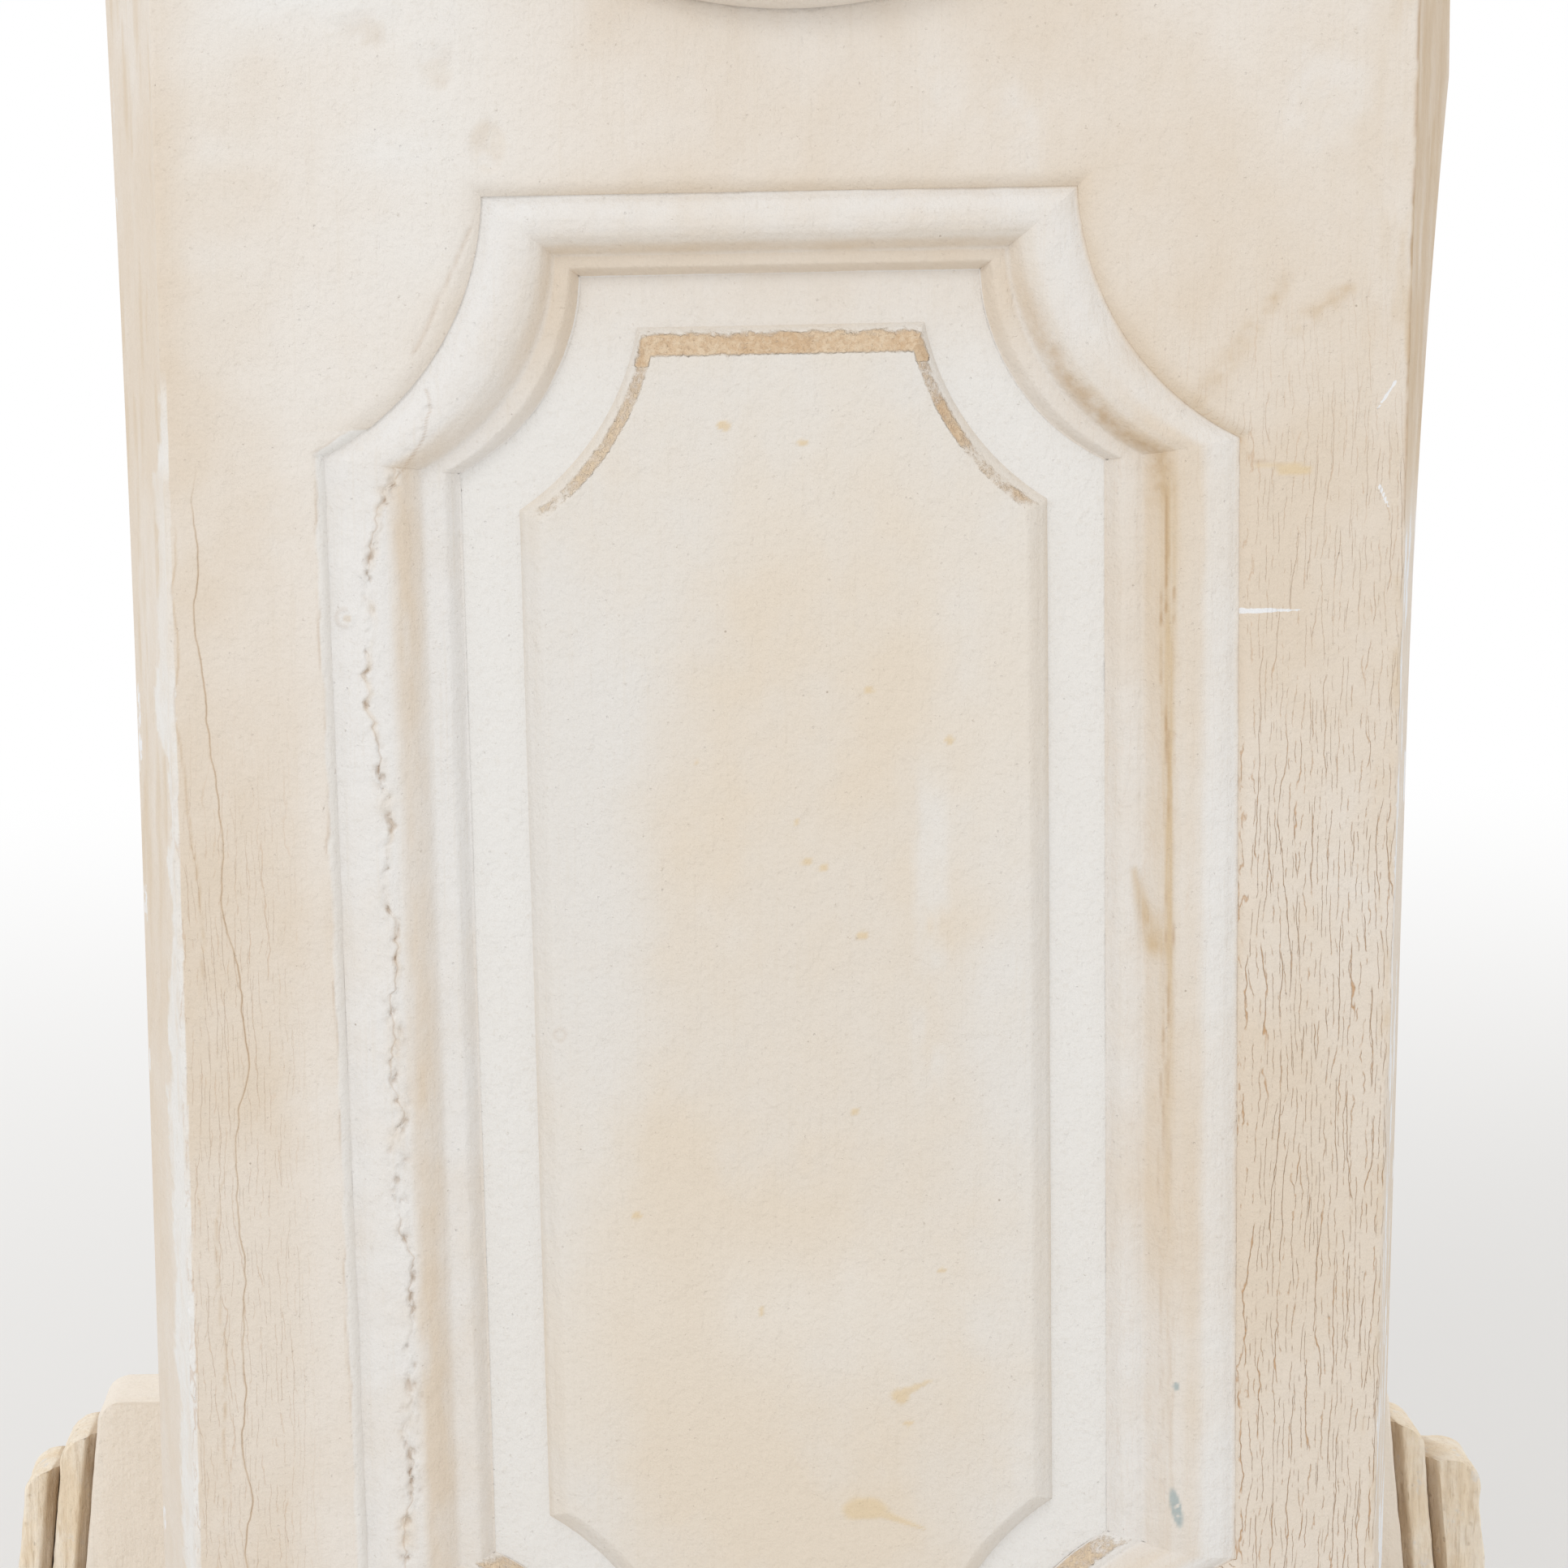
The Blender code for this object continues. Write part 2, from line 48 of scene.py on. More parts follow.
HEIGHT = 0.690
DEPTH = 0.252
GAP = 0.0003
FACE_Y = -0.111
FACE_HALF_WIDTH = 0.117
FACE_WALL = 0.022
RETURN_INNER = 0.1005
CASTING_LOW = 0.070
CASTING_HIGH = 0.620
RETURN_DEPTH = 0.050
SPLAY = math.tan(math.radians(14.0))
RIGHT_EXTRA = 0.0022
RIGHT_FOOT_HEIGHT = 0.080
RIGHT_FOOT_SHARE = 0.4
RIGHT_FLARE_START = 0.330
RIGHT_FLARE_END = 0.465
RIGHT_FLARE_RATE = 0.235
RIGHT_FLARE_LOSS = 0.75
FLARE_START = 0.280
FLARE_RATE = 0.111
FRAME_X = 0.0022
FRAME_Z = 0.2817
FRAME_TILT = math.radians(1.0)
FRAME_HALF_WIDTH = 0.0870
FRAME_HALF_HEIGHT = 0.1609
STILE_WIDTH = 0.0247
RAIL_WIDTH = 0.0153
SUNK_DEPTH = 0.0085
OUTER_SCOOP = (0.1120, 0.1630, 0.0560)
INNER_SCOOP = (0.0815, 0.1475, 0.0433)
MOULDING = [
    (-0.010, 0.0021),
    (0.040, 0.0020),
    (0.110, 0.0012),
    (0.200, 0.0006),
    (0.290, 0.0003),
    (0.400, 0.0003),
    (0.500, 0.0008),
    (0.600, 0.0021),
    (0.680, 0.0038),
    (0.740, 0.0052),
    (0.780, 0.0050),
    (0.900, 0.0052),
    (0.950, 0.0065),
    (0.985, 0.0078),
    (1.020, 0.0086),
]
FIELD_HALF_WIDTH = 0.0499
FIELD_HALF_HEIGHT = 0.1348
FIELD_SCOOP = (0.0780, 0.1445, 0.0520)
FIELD_STRAIGHT_HALF = 0.098
FIELD_SLOPE = (0.0034, 0.0046, 0.0030)
FIELD_EDGE_DEPTH = 0.0076
FIELD_DEPTH = 0.0045
FOOT_SPREAD = 1.018
BOSS_Z = 0.532
BOSS_HALF = (0.070, 0.056)
BOSS_RIM_WIDTH = 0.012
BOSS_RIM_HEIGHT = 0.0075
BOSS_DOME_HEIGHT = 0.013
BOSS_EDGE = 0.0015
CAP_HALF_WIDTH = 0.146
CAP_BACK = 0.1115
ASTRAGAL_HIGH = 0.634
COVE_HIGH = 0.664
CAP_FACE = FACE_Y - 0.003
CAP_OVERHANG = 0.012
PLINTH_HALF_WIDTH = 0.1305
PLINTH_FACE = FACE_Y - 0.003
PLINTH_BACK = 0.0910
PLINTH_STEP_HIGH = 0.054
PLINTH_OVERHANG = 0.008
CHEEK_OUTER = 0.118
CHEEK_THICKNESS = 0.012
FLANGE_FRONT = 0.104
FLANGE_SPREAD = 0.110
BLOCK_HIGH = 0.129
RIB_GAP = 0.0022
RIB_SETBACK = 0.0015
RIB_SWELL = 0.0019
GROOVE_DEEP = 0.0030
# Each flange: how far down it spreads, its block's edge and height, and each rib's thickness and height
FLANGES = {
    "left": (0.000, 0.1670, 0.1317, ((0.0068, 0.1215), (0.0068, 0.1125))),
    "right": (0.063, 0.1690, 0.1317, ((0.0066, 0.1190), (0.0120, 0.1090))),
}
STILE_OUTER = CHEEK_OUTER - CHEEK_THICKNESS - GAP
STILE_FACE_WIDTH = 0.030
TIMBER_THICKNESS = 0.022
STILE_FRONT = 0.094
WAD_CENTRES = (0.200, 0.270, 0.430, 0.500)
WAD_HEIGHT = 0.042
WAD_THICKNESS = 0.0052
SCRIM_HALF_WIDTH = 0.0985
SCRIM_LOW = 0.085
SCRIM_HIGH = 0.606
THREAD_SPACING = 0.0042

# ------------------------------------------------------------------ small tools

# Points across the square table of random values that the noise repeats over
LATTICE = 256


def lattice_noise(x, y, seed):
    """Smooth noise from -1 to 1, with one lattice cell to a unit."""
    table = np.random.RandomState(seed).uniform(-1.0, 1.0, (LATTICE, LATTICE))
    left, low = np.floor(x).astype(int), np.floor(y).astype(int)
    across, up = x - left, y - low
    across = across * across * (3.0 - 2.0 * across)
    up = up * up * (3.0 - 2.0 * up)

    def row(line):
        first, second = table[left % LATTICE, line % LATTICE], table[(left + 1) % LATTICE, line % LATTICE]
        return first * (1 - across) + second * across

    return row(low) * (1 - up) + row(low + 1) * up


def rough(x, y, cell, seed, octaves=3, gain=0.5):
    """Fractal noise from about -1 to 1; cell is one size in metres, or one across and one up."""
    across, up = cell if isinstance(cell, tuple) else (cell, cell)
    total = 0.0
    weight = 1.0
    whole = 0.0
    for octave in range(octaves):
        total = total + weight * lattice_noise(x / across * 2**octave, y / up * 2**octave, seed + 7 * octave)
        whole += weight
        weight *= gain
    return total / whole * 1.6


def rise(value, low, high):
    """Smooth step from 0 at low to 1 at high."""
    share = np.clip((value - low) / (high - low), 0.0, 1.0)
    return share * share * (3.0 - 2.0 * share)


def fall(value, low, high):
    """Smooth step from 1 at low to 0 at high."""
    return 1.0 - rise(value, low, high)


def patchy(x, y, cell, seed, middle, swing, low, high):
    """Noise that swings about a middle and is kept between two limits."""
    return np.clip(middle + swing * rough(x, y, cell, seed), low, high)


def patches(x, y, cell, seed, low, high):
    """Blotches: 1 where the noise is over high, 0 where it is under low."""
    return rise(rough(x, y, cell, seed), low, high)


def bell(distance, width):
    """A soft peak, 1 where the distance is 0."""
    return np.exp(-((distance / width) ** 2))


def fade(distance, width):
    """1 up to a distance of 0, then dying away over about a width."""
    return np.exp(-np.maximum(distance, 0) / width)


def spaced(low, high, count, ends=0.0):
    """Values from low to high, closer together near both ends as ends goes to 1."""
    share = np.linspace(0.0, 1.0, count)
    eased = share - ends * np.sin(2.0 * np.pi * share) / (2.0 * np.pi)
    return low + (high - low) * eased


def right_extra(z):
    """How much further out than on the left the right arris and the right return's back edge stand."""
    foot = np.minimum(1.0, (z - CASTING_LOW) / RIGHT_FOOT_HEIGHT)
    arris = RIGHT_EXTRA * (RIGHT_FOOT_SHARE + (1.0 - RIGHT_FOOT_SHARE) * foot)
    climb = np.clip(z, RIGHT_FLARE_START, RIGHT_FLARE_END) - RIGHT_FLARE_START
    above = np.maximum(0.0, z - RIGHT_FLARE_END) / (CASTING_HIGH - RIGHT_FLARE_END)
    return arris, arris + RIGHT_FLARE_RATE * climb**2 * (1.0 - RIGHT_FLARE_LOSS * above)


def arris_distance(x, z):
    """Distance in from the nearer arris of the face."""
    return FACE_HALF_WIDTH + np.where(x > 0, right_extra(z)[0], 0.0) - np.abs(x)


def return_depth(z):
    """How far back the splayed returns go at a height; they flare towards the cap."""
    return RETURN_DEPTH + FLARE_RATE * np.maximum(0.0, z - FLARE_START) ** 2 / SPLAY


def inside_depth(across, up, half_width, half_height, circle):
    """Distance inside a scooped outline, negative outside it; circle is its hollow corner."""
    side = half_width - np.abs(across)
    end = half_height - np.abs(up)
    hollow = np.hypot(np.abs(across) - circle[0], np.abs(up) - circle[1]) - circle[2]
    return np.minimum(np.minimum(side, end), hollow)


def half_width_at(up, half_width, half_height, circle):
    """Half width of a scooped outline at a height."""
    drop = np.clip(circle[1] - np.minimum(np.abs(up), half_height), -circle[2], circle[2])
    hollow = circle[0] - np.sqrt(circle[2] ** 2 - drop * drop)
    return np.minimum(hollow, half_width)


def from_frame(across, up):
    """X and Z of a point of the askew frame."""
    cosine, sine = math.cos(FRAME_TILT), math.sin(FRAME_TILT)
    return FRAME_X + across * cosine - up * sine, FRAME_Z + across * sine + up * cosine


def to_frame(x, z):
    """Across and up from the askew frame's centre, for a point of the part."""
    cosine, sine = math.cos(FRAME_TILT), math.sin(FRAME_TILT)
    return (x - FRAME_X) * cosine + (z - FRAME_Z) * sine, (z - FRAME_Z) * cosine - (x - FRAME_X) * sine


def path_distance(x, z, path):
    """Distance from each point to an open path, and how far along it the nearest point is, from 0 to 1."""
    best = np.full(np.shape(x), 1e9)
    along = np.zeros(np.shape(x))
    steps = [math.dist(a, b) for a, b in zip(path, path[1:])]
    gone, whole = 0.0, sum(steps)
    for (ax, az), (bx, bz), step in zip(path, path[1:], steps):
        share = np.clip(((x - ax) * (bx - ax) + (z - az) * (bz - az)) / step**2, 0.0, 1.0)
        away = np.hypot(x - ax - share * (bx - ax), z - az - share * (bz - az))
        nearer = away < best
        best = np.where(nearer, away, best)
        along = np.where(nearer, (gone + share * step) / whole, along)
        gone += step
    return best, along


def strip_faces(first, second, closed=False):
    """Quads between two rows of vertex numbers."""
    a, b = np.asarray(first), np.asarray(second)
    if closed:
        return np.stack([a, np.roll(a, -1), np.roll(b, -1), b], axis=1)
    return np.stack([a[:-1], a[1:], b[1:], b[:-1]], axis=1)


def grid_faces(numbers, closed=False):
    """Quads between the rows of a grid of vertex numbers."""
    return np.concatenate([strip_faces(a, b, closed) for a, b in zip(numbers, numbers[1:])])


def loop_round(table):
    """The vertex numbers round the edge of a grid."""
    return np.concatenate([table[:-1, 0], table[-1, :-1], table[:0:-1, -1], table[0, :0:-1]])


def add_piece(name, points, quads, finish, nodes, ends=(), marks=None, sharp=None):
    """Makes a closed mesh piece that stands for CAD nodes and rides on the one body."""
    mesh = bpy.data.meshes.new(name)
    faces = np.asarray(quads).tolist() + [list(end) for end in ends]
    mesh.from_pydata(np.asarray(points, float).tolist(), [], faces)
    shell = bmesh.new()
    shell.from_mesh(mesh)
    bmesh.ops.recalc_face_normals(shell, faces=shell.faces)
    shell.to_mesh(mesh)
    shell.free()
    for mark, values in (marks or {}).items():
        layer = mesh.attributes.new(mark, "FLOAT", "POINT")
        layer.data.foreach_set("value", np.clip(np.asarray(values, np.float32).ravel(), 0.0, 1.0))
    mesh.shade_smooth()
    if sharp is not None:
        mesh.set_sharp_from_angle(angle=math.radians(sharp))
    mesh.materials.append(finish)
    made = bpy.data.objects.new(name, mesh)
    bpy.context.scene.collection.objects.link(made)
    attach(made, "root")
    if nodes:
        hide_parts(*nodes)
    return made


def add_rings(name, rings, finish, node, marks=None, sharp=50.0):
    """A closed piece skinned over a stack of rings, an array of (ring, point, xyz), with flat ends."""
    rows, count = rings.shape[:2]
    numbers = np.arange(rows * count).reshape(rows, count)
    quads = grid_faces(numbers, closed=True)
    ends = [numbers[0], numbers[-1]]
    return add_piece(name, rings.reshape(-1, 3), quads, finish, [node], ends, marks, sharp)


# ------------------------------------------------------------------ materials


def linear(red, green, blue):
    """A colour given as 0 to 255 on a screen."""
    shares = [value / 255.0 for value in (red, green, blue)]
    return tuple(s / 12.92 if s <= 0.04045 else ((s + 0.055) / 1.055) ** 2.4 for s in shares)


PAINT_LEVEL = (0.975, 0.985, 1.010)


def paint_colour(red, green, blue):
    """Albedo of paint that looks like this screen colour in the studio's light."""
    return tuple(level * value for level, value in zip(PAINT_LEVEL, linear(red, green, blue))) + (1.0,)


CREAM = paint_colour(232, 223, 211)
BUFF = paint_colour(224, 208, 187)
OLD_WHITE = paint_colour(235, 231, 225)
BRUSH_SHADOW = paint_colour(218, 204, 183)
OCHRE = paint_colour(211, 187, 152)
WHITE_PAINT_AND_HIGHLIGHT = paint_colour(236, 234, 229)
SPLIT_BROWN = paint_colour(188, 140, 86)
PINHOLE = paint_colour(146, 126, 104)
SPECK = paint_colour(205, 192, 172)
BARE_PLASTER = paint_colour(238, 237, 235)
SCAR_BROWN = paint_colour(176, 138, 92)
DRIP_CREAM = paint_colour(224, 201, 163)
BLUE_GREY = paint_colour(176, 184, 180)
DARK_DUST = paint_colour(212, 180, 143)
PALE_DUST = paint_colour(230, 208, 178)


class Finish:
    """A material and short ways to add nodes to it."""

    def __init__(self, name):
        self.material = bpy.data.materials.new(name)
        self.material.use_nodes = True
        self.tree = self.material.node_tree
        self.shader = self.tree.nodes["Principled BSDF"]
        self.place = self.node("ShaderNodeTexCoord").outputs["Object"]

    def node(self, kind, **settings):
        made = self.tree.nodes.new(kind)
        for key, value in settings.items():
            setattr(made, key, value)
        return made

    def feed(self, value, socket):
        """Links a socket, or sets a plain value."""
        if isinstance(value, bpy.types.NodeSocket):
            self.tree.links.new(value, socket)
        else:
            socket.default_value = value

    def math(self, operation, first, second=0.0, third=0.0, clamp=False):
        made = self.node("ShaderNodeMath", operation=operation, use_clamp=clamp)
        for value, socket in zip((first, second, third), made.inputs):
            self.feed(value, socket)
        return made.outputs[0]

    def stretched(self, size):
        """Object coordinates divided by a size in metres along each axis."""
        made = self.node("ShaderNodeMapping")
        self.feed(self.place, made.inputs["Vector"])
        made.inputs["Scale"].default_value = tuple(1.0 / value for value in size)
        return made.outputs[0]

    def noise(self, size, detail=3.0, roughness=0.5, distortion=0.0):
        made = self.node("ShaderNodeTexNoise")
        self.feed(self.stretched(size), made.inputs["Vector"])
        keys = ("Scale", "Detail", "Roughness", "Distortion")
        for key, value in zip(keys, (1.0, detail, roughness, distortion)):
            made.inputs[key].default_value = value
        return made.outputs[0]

    def cells(self, size):
        made = self.node("ShaderNodeTexVoronoi", feature="F1")
        self.feed(self.stretched(size), made.inputs["Vector"])
        made.inputs["Scale"].default_value = 1.0
        return made.outputs["Distance"]

    def step(self, value, low, high, to_low=0.0, to_high=1.0):
        """A smooth step between two values."""
        made = self.node("ShaderNodeMapRange", interpolation_type="SMOOTHSTEP")
        keys = ("Value", "From Min", "From Max", "To Min", "To Max")
        for key, amount in zip(keys, (value, low, high, to_low, to_high)):
            self.feed(amount, made.inputs[key])
        return made.outputs[0]

    def mark(self, name):
        """A mask kept in the mesh."""
        return self.node("ShaderNodeAttribute", attribute_name=name).outputs["Fac"]

    def mix(self, share, first, second):
        made = self.node("ShaderNodeMix", data_type="RGBA")
        self.feed(share, made.inputs[0])
        self.feed(first, made.inputs[6])
        self.feed(second, made.inputs[7])
        return made.outputs[2]

    def relief(self, height, distance, before=None):
        """A bump added to the normal before it."""
        made = self.node("ShaderNodeBump")
        made.inputs["Strength"].default_value = 1.0
        made.inputs["Distance"].default_value = distance
        self.feed(height, made.inputs["Height"])
        if before is not None:
            self.tree.links.new(before, made.inputs["Normal"])
        return made.outputs[0]

    def finish(self, colour, roughness, normal=None, **sockets):
        """Feeds the shader and gives the material back."""
        self.feed(colour, self.shader.inputs["Base Color"])
        self.feed(roughness, self.shader.inputs["Roughness"])
        if normal is not None:
            self.tree.links.new(normal, self.shader.inputs["Normal"])
        for key, value in sockets.items():
            self.shader.inputs[key.replace("_", " ")].default_value = value
        return self.material


def upright_splits(finish, spacing, width, wander, gate):
    """Thin upright lines about a spacing apart that wander, and break where a gate pattern is low."""
    place = finish.node("ShaderNodeSeparateXYZ")
    finish.feed(finish.place, place.inputs[0])
    line = finish.math("DIVIDE", finish.math("ADD", place.outputs[0], place.outputs[1]), spacing)
    bend = finish.noise((wander * 0.4, wander * 0.4, wander), 3.0, 0.6)
    drift = finish.noise((spacing * 5, spacing * 5, wander * 5), 1.0, 0.5)
    line = finish.math("ADD", line, finish.math("MULTIPLY", bend, 1.1))
    line = finish.math("ADD", line, finish.math("MULTIPLY", drift, 3.2))
    away = finish.math("ABSOLUTE", finish.math("SUBTRACT", finish.math("FRACT", line), 0.5))
    broken = finish.noise((spacing * 1.1, spacing * 1.1, wander * 1.3), 2.0, 0.55)
    split = finish.step(away, 0.0, width, 1.0, 0.0)
    return finish.math("MULTIPLY", split, finish.step(broken, gate - 0.04, gate + 0.05))


def speckled(finish, mark, grit, spread, low, high):
    """A mask from a mesh attribute, with its edge broken up by a fine pattern."""
    loose = finish.math("MULTIPLY", finish.math("SUBTRACT", grit, 0.5), spread)
    return finish.step(finish.math("ADD", finish.mark(mark), loose), low, high)


def aged_paint(name, light, warm, crackle=0.0):
    """Cream paint on plaster: yellowing, brush marks, crackle, pinholes, worn edges, dust and stains."""
    paint = Finish(name)
    clouds = paint.noise((0.085, 0.085, 0.11), 4.0, 0.55)
    mottle = paint.noise((0.016, 0.016, 0.022), 4.0, 0.6)
    amount = paint.math("ADD", paint.math("MULTIPLY", clouds, 0.75), paint.math("MULTIPLY", mottle, 0.25))
    yellow = paint.math("ADD", paint.step(amount, 0.40, 0.66, 0.0, 0.8), paint.mark("tan"), clamp=True)
    colour = paint.mix(yellow, light, warm)
    white = paint.step(paint.noise((0.050, 0.050, 0.070), 5.0, 0.62), 0.58, 0.74, 0.0, 0.6)
    kept = paint.math("SUBTRACT", 1.0, paint.mark("tan"), clamp=True)
    colour = paint.mix(paint.math("MULTIPLY", white, kept), colour, OLD_WHITE)

    brushed = paint.noise((0.0008, 0.0008, 0.034), 3.0, 0.6)
    colour = paint.mix(paint.step(brushed, 0.50, 0.80, 0.0, 0.22), colour, BRUSH_SHADOW)
    grit = paint.noise((0.0011, 0.0011, 0.0011), 3.0, 0.7)
    streaks = paint.noise((0.0012, 0.0012, 0.018), 3.0, 0.6)
    streaked = paint.step(streaks, 0.25, 0.60, 0.60, 1.0)
    ochre = paint.math("MULTIPLY", paint.mark("ochre"), streaked, clamp=True)
    colour = paint.mix(ochre, colour, OCHRE)
    # The white mark: whiter paint and bare plaster, and painted highlight on slopes of the frame
    colour = paint.mix(paint.mark("white"), colour, WHITE_PAINT_AND_HIGHLIGHT)

    # Splits that run up the paint, fine, wavy and broken
    density = paint.math("ADD", paint.mark("crackle"), crackle, clamp=True)
    long_splits = upright_splits(paint, 0.0026, 0.048, 0.011, 0.500)
    short_splits = upright_splits(paint, 0.0012, 0.095, 0.0042, 0.490)
    splits = paint.math("MAXIMUM", long_splits, paint.math("MULTIPLY", short_splits, 0.75))
    splits = paint.math("MULTIPLY", splits, density)
    colour = paint.mix(paint.math("MULTIPLY", splits, 0.80), colour, SPLIT_BROWN)

    pins = paint.cells((0.017, 0.017, 0.017))
    colour = paint.mix(paint.step(pins, 0.010, 0.017, 0.55, 0.0), colour, PINHOLE)
    fine = paint.noise((0.0014, 0.0014, 0.0014), 5.0, 0.68)
    colour = paint.mix(paint.step(fine, 0.52, 0.72, 0.0, 0.16), colour, SPECK)
    pits = paint.cells((0.0030, 0.0030, 0.0030))
    pitted = paint.step(pits, 0.02, 0.09, 1.0, 0.0)

    bare = speckled(paint, "chip", paint.noise((0.0016, 0.0016, 0.0022), 3.0, 0.6), 0.8, 0.42, 0.56)
    colour = paint.mix(bare, colour, BARE_PLASTER)
    colour = paint.mix(paint.mark("scar"), colour, SCAR_BROWN)
    colour = paint.mix(paint.mark("drip"), colour, DRIP_CREAM)
    colour = paint.mix(paint.mark("blue"), colour, BLUE_GREY)

    dusty = speckled(paint, "dust", grit, 1.3, 0.14, 0.92)
    drifts = paint.math("ADD", paint.math("MULTIPLY", grit, 0.5), paint.math("MULTIPLY", mottle, 0.5))
    dust_colour = paint.mix(paint.step(drifts, 0.38, 0.62), DARK_DUST, PALE_DUST)
    colour = paint.mix(dusty, colour, dust_colour)

    lumps = paint.noise((0.0050, 0.0050, 0.0070), 5.0, 0.62)
    normal = paint.relief(fine, 0.00032)
    normal = paint.relief(lumps, 0.00070, normal)
    normal = paint.relief(pitted, -0.00010, normal)
    normal = paint.relief(brushed, 0.00008, normal)
    normal = paint.relief(splits, -0.00013, normal)
    normal = paint.relief(paint.math("MULTIPLY", dusty, grit), 0.0007, normal)
    worn = paint.math("MULTIPLY", paint.math("MAXIMUM", dusty, bare), 0.3)
    roughness = paint.math("ADD", paint.step(mottle, 0.3, 0.7, 0.52, 0.66), worn, clamp=True)
    return paint.finish(colour, roughness, normal)


def raw_plaster(name, light, dark):
    """Bare gauged plaster: mottled, darker in its pits, browned by stains and by painted shade in the gaps
    between the ribs, with jute fibres showing through.
    """
    bare = Finish(name)
    mottle = bare.noise((0.009, 0.009, 0.016), 5.0, 0.62)
    fibres = bare.noise((0.0009, 0.0009, 0.012), 3.0, 0.65, 0.8)
    colour = bare.mix(bare.step(mottle, 0.36, 0.64), dark, light)
    colour = bare.mix(bare.step(fibres, 0.54, 0.72, 0.0, 0.35), colour, paint_colour(200, 170, 132))
    pale = bare.step(bare.noise((0.005, 0.005, 0.007), 4.0, 0.6), 0.60, 0.70, 0.0, 0.7)
    colour = bare.mix(pale, colour, paint_colour(238, 232, 222))
    pits = bare.cells((0.0042, 0.0042, 0.0042))
    colour = bare.mix(bare.step(pits, 0.06, 0.16, 0.2, 0.0), colour, paint_colour(170, 142, 108))
    # Brown from the scar mark: stains, and painted shade on the ribs' faces in the gaps between them
    colour = bare.mix(bare.mark("scar"), colour, paint_colour(178, 148, 112))
    normal = bare.relief(bare.noise((0.0022, 0.0022, 0.0030), 5.0, 0.65), 0.0006)
    normal = bare.relief(fibres, 0.0004, normal)
    normal = bare.relief(bare.step(pits, 0.05, 0.2), 0.0002, normal)
    return bare.finish(colour, 0.88, normal, Specular_IOR_Level=0.3)


def timber(name, along):
    """Sawn softwood with plaster splashes; along is the axis that the grain runs on."""
    wood = Finish(name)
    grain_size = [0.0016] * 3
    ring_size = [0.011] * 3
    grain_size[along] = 0.055
    ring_size[along] = 0.30
    rings = wood.noise(tuple(ring_size), 2.0, 0.5, 0.4)
    bands = wood.math("FRACT", wood.math("MULTIPLY", rings, 9.0))
    late = wood.step(bands, 0.55, 0.97)
    grain = wood.noise(tuple(grain_size), 4.0, 0.65)
    colour = wood.mix(late, paint_colour(204, 177, 141), paint_colour(172, 138, 100))
    colour = wood.mix(wood.step(grain, 0.42, 0.72, 0.0, 0.60), colour, paint_colour(140, 110, 80))
    grey = wood.step(wood.noise((0.06, 0.06, 0.06), 4.0, 0.6), 0.36, 0.62, 0.10, 0.65)
    colour = wood.mix(grey, colour, paint_colour(176, 164, 146))
    splash = wood.step(wood.noise((0.011, 0.011, 0.016), 6.0, 0.65), 0.60, 0.68, 0.0, 0.9)
    colour = wood.mix(splash, colour, paint_colour(232, 226, 214))
    normal = wood.relief(grain, 0.0005)
    normal = wood.relief(late, 0.0002, normal)
    normal = wood.relief(splash, 0.0008, normal)
    return wood.finish(colour, wood.step(splash, 0.0, 1.0, 0.70, 0.90), normal)


def jute(name, cell, soaked):
    """Open plain weave of jute, soaked with plaster; cell is the spacing of its threads."""
    cloth = Finish(name)
    place = cloth.node("ShaderNodeSeparateXYZ")
    cloth.feed(cloth.place, place.inputs[0])
    waves = []
    for axis in (0, 2):
        turn = cloth.math("MULTIPLY", place.outputs[axis], math.pi / cell)
        waves.append(cloth.math("ABSOLUTE", cloth.math("SINE", turn)))
    threads = cloth.math("MAXIMUM", *waves)
    strands = cloth.noise((0.0005, 0.0005, 0.0016), 3.0, 0.7, 1.0)
    mottle = cloth.noise((0.011, 0.011, 0.013), 4.0, 0.6)
    dry, pale = paint_colour(176, 144, 104), paint_colour(216, 192, 154)
    colour = cloth.mix(cloth.step(strands, 0.35, 0.68), dry, pale)
    colour = cloth.mix(cloth.step(threads, 0.45, 0.90, 0.45, 1.0), paint_colour(150, 120, 84), colour)
    wet = cloth.math("ADD", cloth.math("MULTIPLY", mottle, 0.75), cloth.math("MULTIPLY", strands, 0.25))
    plaster = cloth.step(wet, soaked - 0.11, soaked + 0.11, 0.25, 0.95)
    colour = cloth.mix(plaster, colour, paint_colour(231, 223, 210))
    normal = cloth.relief(strands, 0.0005)
    normal = cloth.relief(threads, 0.0004, normal)
    normal = cloth.relief(plaster, 0.0003, normal)
    return cloth.finish(colour, 0.93, normal, Specular_IOR_Level=0.2)


def rusted_steel(name):
    """Old steel, rusted brown in patches."""
    metal = Finish(name)
    patches = metal.noise((0.0030, 0.0030, 0.0030), 5.0, 0.65)
    rust = metal.step(patches, 0.44, 0.56)
    flakes = metal.noise((0.0009, 0.0009, 0.0009), 4.0, 0.7)
    rusty = metal.mix(metal.step(flakes, 0.35, 0.65), paint_colour(112, 70, 44), paint_colour(158, 104, 66))
    colour = metal.mix(rust, paint_colour(150, 146, 140), rusty)
    metal.feed(metal.step(rust, 0.0, 1.0, 0.95, 0.05), metal.shader.inputs["Metallic"])
    normal = metal.relief(metal.math("MULTIPLY", rust, flakes), 0.0003)
    return metal.finish(colour, metal.step(rust, 0.0, 1.0, 0.38, 0.85), normal)




def soften(profile, width):
    """A profile of (share, depth) sampled finely and rounded at its corners."""
    fine = np.linspace(-0.2, 1.2, 1401)
    depth = np.interp(fine, [p[0] for p in profile], [p[1] for p in profile])
    reach = np.arange(-3.0 * width, 3.0 * width, 0.001)
    weight = np.exp(-0.5 * (reach / width) ** 2)
    depth = np.convolve(depth, weight / weight.sum(), mode="same")
    return lambda share: np.interp(share, fine, depth)


moulding_depth = soften(MOULDING, 0.012)


# ------------------------------------------------------------------ frame mouldings

